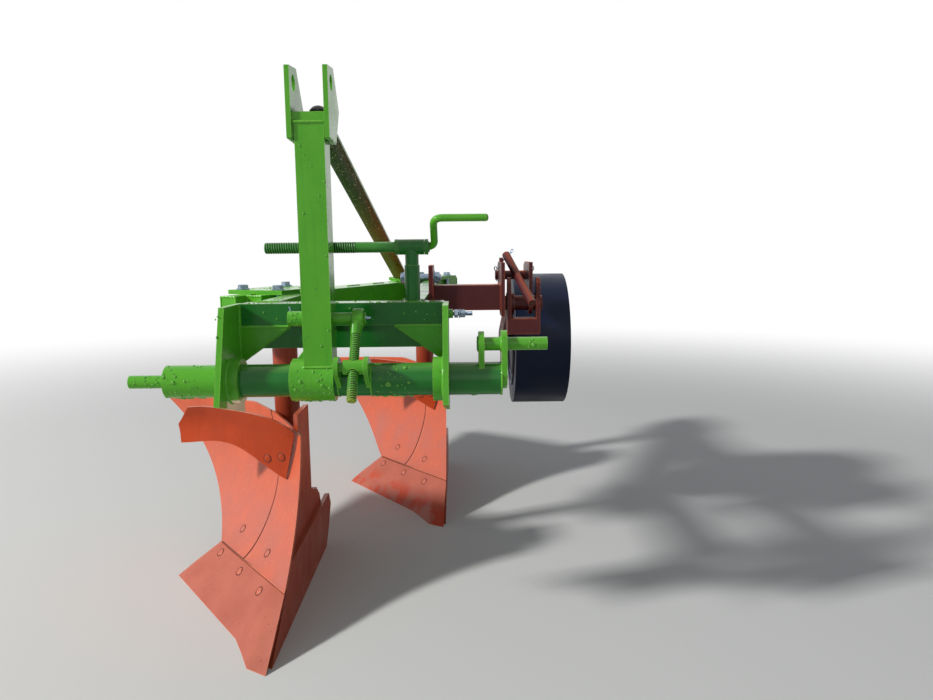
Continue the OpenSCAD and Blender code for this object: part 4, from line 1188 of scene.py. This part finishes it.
class PLOUGH_OT_pins(bpy.types.Operator):
    """Adds split pins, a grease nipple, the stop tube's mouth and the wheel's pressed ribs and hub bolts"""
    bl_idname = "plough.pins"
    bl_label = "Pins and nipples"

    def execute(self, context):
        # Split pin: up one leg, round the eye and down the other
        shape = [(0, 0, -17), (0, 0, 12), (3.4, 0, 16), (4.6, 0, 20), (3.0, 0, 24.5), (0, 0, 25.5),
                 (-3.0, 0, 24.5), (-4.6, 0, 20), (-3.4, 0, 16), (-0.6, 0, 12), (-1.4, 0, -15)]
        pin = tube(rounded(shape, 1.2, 4), 1.5, (0, 1, 0), sides=8, spacing=1.5)
        nipple = lathe([(4.5, -1), (4.5, 3), (3.0, 3.4), (2.6, 6), (3.3, 7), (3.3, 8.5), (1.6, 10.4)], 16)
        head = set_out(pin, (-58, CROSS_PIN_Y, CROSS_PIN_Z), (-0.3, 0.2, 1), 0.4)
        grease = set_out(nipple, (98, CROSS_PIN_Y, CROSS_PIN_Z), (1, 0, 0))
        piece("cross_pin_split_pin", head, "headstock", zinc_plate(), "zinc_steel")
        piece("cross_pin_nipple", grease, "headstock", zinc_plate(), "zinc_steel")
        # Two through the ends of the bracket's stop pin, one through the stop tube
        bracket = set_out(pin, [(506.5, 573, 817), (404.5, 573, 817), (430, 494, 871)],
                          [(0.2, -0.3, 1), (-0.1, -0.2, 1), (0.6, -0.2, 0.7)], [0.3, 1.0, 0.5])
        piece("bracket_split_pins", bracket, "frame", zinc_plate(), "zinc_steel")
        # Painted shade: a dark disc in the mouth of the stop tube.
        mouth = set_out(lathe([(5.4, -2), (5.4, 0.5)], 24), (484, 330, 753), (56, -170, -123))
        piece("stop_tube_mouth", mouth, "frame", painted_gap_shade(), "orange_enamel")
        self.wheel()
        return {"FINISHED"}

    def wheel(self):
        """Rolled beads on both rims, two pressed ribs on each disc, a hub flange with five bolts"""
        lo, hi = (c - MAST for c in node_box("wheel"))
        middle = np.array([0, (lo[1] + hi[1]) / 2, (lo[2] + hi[2]) / 2])
        outer = (hi[2] - lo[2]) / 2
        # Radius and thickness of each ring, and how far its middle lies behind the disc's face
        rings = ((outer - 6.5, 6.2, 6.0), (150, 7, 2), (112, 6, 2))
        forms = []
        for x, way in ((lo[0], -1), (hi[0], 1)):
            for radius, thick, sunk in rings:
                path, _ = circle(middle + (x - way * sunk, 0, 0), radius, (1, 0, 0), steps=120)
                forms.append(tube(path, thick, (1, 0, 0), sides=12, spacing=6.0, loop=True))
        flange = lathe([(68, -1), (68, 5), (66, 7), (34, 7.4)], 48)
        forms.append(set_out(flange, middle + (hi[0], 0, 0), (1, 0, 0)))
        piece("wheel_ribs", join(*forms), "depth_wheel", wheel_enamel(), "dark_enamel")
        turn = around(5)
        seats = middle + np.stack([0 * turn + hi[0] + 7, 52 * np.cos(turn), 52 * np.sin(turn)], -1)
        bolts = set_out(hex_block(18, 7), seats, (1, 0, 0))
        piece("wheel_hub_bolts", bolts, "depth_wheel", zinc_plate(), "zinc_steel")


class PLOUGH_OT_welds(bpy.types.Operator):
    """Lays the weld beads"""
    bl_idname = "plough.welds"
    bl_label = "Welds"

    def execute(self, context):
        size = context.scene.plough_sizes.bead * 1000
        for name, beads, body, material, slot in (
                ("frame", self.frame(size), "frame", green_enamel(), "green_enamel"),
                ("headstock", self.headstock(size), "headstock", green_enamel(), "green_enamel"),
                ("cross_shaft", self.cross_shaft(size), "cross_shaft", green_enamel(), "green_enamel"),
                ("legs", self.legs(size), "frame", leg_enamel_painted_shade(), "orange_enamel"),
                ("wheel_beam", self.wheel_beam(size), "frame", bracket_painted_light_enamel(), "orange_enamel")):
            piece(f"welds_{name}", join(*beads), body, material, slot, sharp=60)
        return {"FINISHED"}

    def frame(self, size):
        """Front beam, gussets and collars on the side plates, links, tube joint, post, pad and end caps"""
        front, crease_y, rear = BEAM_Y
        top, low, crease = FRAME_TOP, FRAME_BOTTOM, CREASE_Z
        for x, way in zip(PLATE_IN, (1, -1)):
            yield bead([(x, front, crease), (x, front, top - 2)], (way, -1, 0), size)
            yield bead([(x, rear, low), (x, rear, top - 2)], (way, 1, 0), size)
            yield bead([(x, front - 2.4, crease - 78), (x, front - 2.4, crease)], (way, -1, 0), size)
            yield bead([(x, front - 2, crease), (x + way * 108, front - 2, crease)], (0, -1, 1), 3.0)
            yield bead([(x + way * 110, crease_y, crease - 2), (x, crease_y, crease - 80)],
                       (way * 0.6, -1, -0.8), 3.0)
            yield ring_bead((x, 0, SHAFT_Z), 47, (way, 0, 0), size)
        for x1, x2 in ((-167, -117), (165, 215)):
            yield bead([(x1, rear, top), (x2, rear, top)], (0, 0, 1), size)
            for x, way in ((x1, -1), (x2, 1)):
                yield bead([(x, rear, low), (x, rear, top)], (way, 1, 0), size)
        yield bead([on_beam(204, -50, top), on_beam(327, -50, top)], (0, 0, 1), size)
        for run in np.arange(-140, 1080, 160):
            if abs(run - 20) > 130 and abs(run - LEG_PITCH + 20) > 150:
                for z, way in ((top, 1), (low, -1)):
                    yield bead([on_beam(run, 0, z), on_beam(run + 70, 0, z)], (0, 0, way), size)
        yield ring_bead((192, 97, top), 17, (0, 0, 1), size)
        pad = [on_beam(720 + a * 35, 8 + b * 40, top) for a, b in ((-1, -1), (1, -1), (1, 1), (-1, 1))]
        yield bead(pad, (0, 0, 1), size, loop=True)
        corners = ((-24, low + 2), (24, low + 2), (24, top - 2), (-24, top - 2))
        for run, across, way in ((-192, -25, -1), (1098, -25, 1), (-152, 25, -1), (1098, 25, 1)):
            cap = [on_beam(run, across + a, z) for a, z in corners]
            yield bead(cap, way * (on_beam(1, 0, 0) - on_beam(0, 0, 0)), 2.6, loop=True)

    def headstock(self, size):
        """Mast on its sleeve, gusset, cheeks and cap at the mast's top, arm of the spindle's nut"""
        turn = np.linspace(-30, 30, 13)
        saddle = SHAFT_Z + np.sqrt(SLEEVE_R ** 2 - turn ** 2)
        right = np.stack([0 * turn + 30, turn, saddle], -1)
        left = np.stack([0 * turn - 30, -turn, saddle], -1)
        out = np.repeat([(1.0, 0, 0.8), (-1.0, 0, 0.8)], len(turn), axis=0)
        yield bead(np.concatenate([right, left]), out, size, loop=True)
        low = SHAFT_Z + SLEEVE_R
        for way in (-1, 1):
            y = way * 5
            yield bead([(-59, y, low - 0.4), (-30, y, low - 0.4)], (0, way, 1), 3.4)
            yield bead([(-30, y, low), (-30, y, low + 24)], (-1, way, 0), 3.4)
        foot = MAST_TOP - 31
        for x, way in ((-34.5, -1), (31.5, 1)):
            yield bead([(x, -24, foot), (x, -24, MAST_TOP)], (way * -0.4, -1, 0), size + 0.6)
            yield bead([(x, 24, foot), (x, 24, MAST_TOP)], (way * -0.4, 1, 0), size + 0.6)
            yield bead([(x + way * 5, -30, foot), (x + way * 5, 40, foot)], (0, 0, -1), size + 0.8)
        cap = [(-30, -28, MAST_TOP), (30, -28, MAST_TOP), (30, 25, MAST_TOP), (-30, 25, MAST_TOP)]
        yield bead(cap, (0, 0, 1), size, loop=True)
        arm = [(-30, 30, 883), (-28, 30, 913), (10, 30, 913), (10, 30, 883)]
        yield bead(arm, (0, 1, 0), size, loop=True)

    def cross_shaft(self, size):
        """Ears and crank cheeks on the shaft, hitch pins on their cheeks and on the shaft's end"""
        for x, rise, radius, way, less in (
                (39, 0, SHAFT_R, -1, 1.9), (109, 0, SHAFT_R, 1, 1.9), (384, 0, SHAFT_R, -1, 1.9),
                (336, PIN_RISE, PIN_R + 0.5, -1, 0.6), (384, PIN_RISE, PIN_R + 0.5, -1, 0.6),
                (396, PIN_RISE, PIN_R, 1, 0.6), (-327, 0, PIN_R, -1, 1.0)):
            yield ring_bead((x, 0, SHAFT_Z + rise), radius, (way, 0, 0), size - less)

    def legs(self, size):
        """Legs under their flanges and in the frogs' sockets"""
        for run in (0, LEG_PITCH):
            for z, way in ((FRAME_BOTTOM - CLAMP_T, -1), (200, 1)):
                yield ring_bead(on_beam(run, 0, z), 35, (0, 0, way), size + 0.8)

    def wheel_beam(self, size):
        """Wheel beam on its clamp plate and on its bracket"""
        z = FRAME_BOTTOM + 51
        corners = ((425, z), (485, z), (485, z + 68), (425, z + 68))
        for x, way in ((227.4, 1), (408.6, -1)):
            yield bead([(x, a, b) for a, b in corners], (way, 0, 0), size, loop=True)


class PLOUGH_OT_rain(bpy.types.Operator):
    """Scatters rain drops on tubes and plates, and hangs them under the tubes"""
    bl_idname = "plough.rain"
    bl_label = "Rain"

    def execute(self, context):
        rng = np.random.default_rng(11)
        mean = context.scene.plough_sizes.drop * 1000
        drop = lathe([(1.0, -0.3), (0.96, 0.1), (0.72, 0.42), (0.36, 0.54)], 8)

        def drops(places, out):
            """Drops of random sizes about the mean, the hanging ones larger"""
            size = mean * np.exp(rng.normal(0, 0.3, len(places))) * np.where(out[:, 2] < -0.9, 1.4, 1.0)
            return set_out(drop, places, out, rng.uniform(0, 1, len(places)), size)

        def on_rod(count, x1, x2, y, z, r, low, high):
            """Drops on a rod along X, between two angles in degrees up from its front"""
            at = np.radians(rng.uniform(low, high, count))
            out = np.stack([0 * at, -np.cos(at), np.sin(at)], -1)
            places = out * r + np.stack([rng.uniform(x1, x2, count), y + 0 * at, z + 0 * at], -1)
            return drops(places, out)

        def on_face(count, corner, side, rise, out):
            """Drops on a flat face, given by a corner and two edges"""
            a, b = rng.uniform(0, 1, (2, count, 1))
            places = np.array(corner, float) + a * np.array(side, float) + b * np.array(rise, float)
            return drops(places, np.tile(np.array(out, float), (count, 1)))

        plate = on_beam(-60, -66, FRAME_TOP + CLAMP_T)
        wet = {
            "cross_shaft": [
                on_rod(44, -325, -248, 0, SHAFT_Z, SHAFT_R, -60, 85),
                on_rod(16, -400, -335, 0, SHAFT_Z, PIN_R, -60, 85),
                on_rod(30, 120, 196, 0, SHAFT_Z, SHAFT_R, -60, 70),
                on_rod(40, -320, -248, 0, SHAFT_Z, SHAFT_R, -100, -78),
                on_rod(46, 115, 196, 0, SHAFT_Z, SHAFT_R, -100, -78),
                on_rod(8, 318, 334, 0, SHAFT_Z, SHAFT_R, -100, -78),
                on_rod(24, 400, 478, 0, SHAFT_Z + PIN_RISE, PIN_R, -60, 80)],
            "headstock": [
                on_rod(34, -58, 30, 0, SHAFT_Z, SLEEVE_R, -60, 45),
                on_rod(36, -58, 30, 0, SHAFT_Z, SLEEVE_R, -100, -75),
                on_face(12, (-28, -30, 660), (56, 0, 0), (0, 0, 480), (0, -1, 0)),
                on_face(24, (-30, -28, 660), (0, 56, 0), (0, 0, 480), (-1, 0, 0)),
                on_rod(14, -64, -32, CROSS_PIN_Y, CROSS_PIN_Z, 16, -60, 85)],
            "frame": [
                on_face(60, (-186, 72, FRAME_TOP), (444, 0, 0), (0, 58, 0), (0, 0, 1)),
                on_face(14, (-180, 70, 732), (430, 0, 0), (0, 0, 40), (0, -1, 0)),
                on_face(26, (PLATE_OUT[0], -60, 610), (0, 130, 0), (0, 0, 150), (-1, 0, 0)),
                on_face(40, plate, on_beam(60, -66, FRAME_TOP + CLAMP_T) - plate,
                        on_beam(-60, 54, FRAME_TOP + CLAMP_T) - plate, (0, 0, 1))],
        }
        for body, forms in wet.items():
            piece(f"rain_{body}", join(*forms), body, rain_water(), "green_enamel", sharp=180)
        return {"FINISHED"}


class PLOUGH_PT_panel(bpy.types.Panel):
    """Lists the plough's pieces in the sidebar"""
    bl_label = "Plough"
    bl_idname = "PLOUGH_PT_panel"
    bl_space_type = "VIEW_3D"
    bl_region_type = "UI"
    bl_category = "Plough"

    def draw(self, context):
        for operator in OPERATORS:
            self.layout.operator(operator.bl_idname)


GROUPS = (PloughColours, PloughSizes)
OPERATORS = (
    PLOUGH_OT_stage, PLOUGH_OT_enamel, PLOUGH_OT_bodies, PLOUGH_OT_plough_bolts, PLOUGH_OT_fasteners,
    PLOUGH_OT_spindle, PLOUGH_OT_brace, PLOUGH_OT_levelling_screw, PLOUGH_OT_pins, PLOUGH_OT_welds,
    PLOUGH_OT_rain)


def register():
    """Adds the classes and the two groups of settings."""
    for cls in (*GROUPS, *OPERATORS, PLOUGH_PT_panel):
        bpy.utils.register_class(cls)
    bpy.types.Scene.plough_colours = bpy.props.PointerProperty(type=PloughColours)
    bpy.types.Scene.plough_sizes = bpy.props.PointerProperty(type=PloughSizes)


def unregister():
    """Takes away what register adds."""
    del bpy.types.Scene.plough_sizes
    del bpy.types.Scene.plough_colours
    for cls in reversed((*GROUPS, *OPERATORS, PLOUGH_PT_panel)):
        bpy.utils.unregister_class(cls)


def main():
    """Makes every piece in order and works out the sizes of the CAD model and of what is seen, in metres."""
    register()
    bpy.ops.plough.stage()
    bpy.ops.plough.enamel()
    bpy.ops.plough.bodies()
    bpy.ops.plough.plough_bolts()
    bpy.ops.plough.fasteners()
    bpy.ops.plough.spindle()
    bpy.ops.plough.brace()
    bpy.ops.plough.levelling_screw()
    bpy.ops.plough.pins()
    bpy.ops.plough.welds()
    bpy.ops.plough.rain()
    boxes = [[list(map(float, corner)) for corner in box] for box in (CAD_BOX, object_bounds())]


if __name__ == "__main__":
    main()
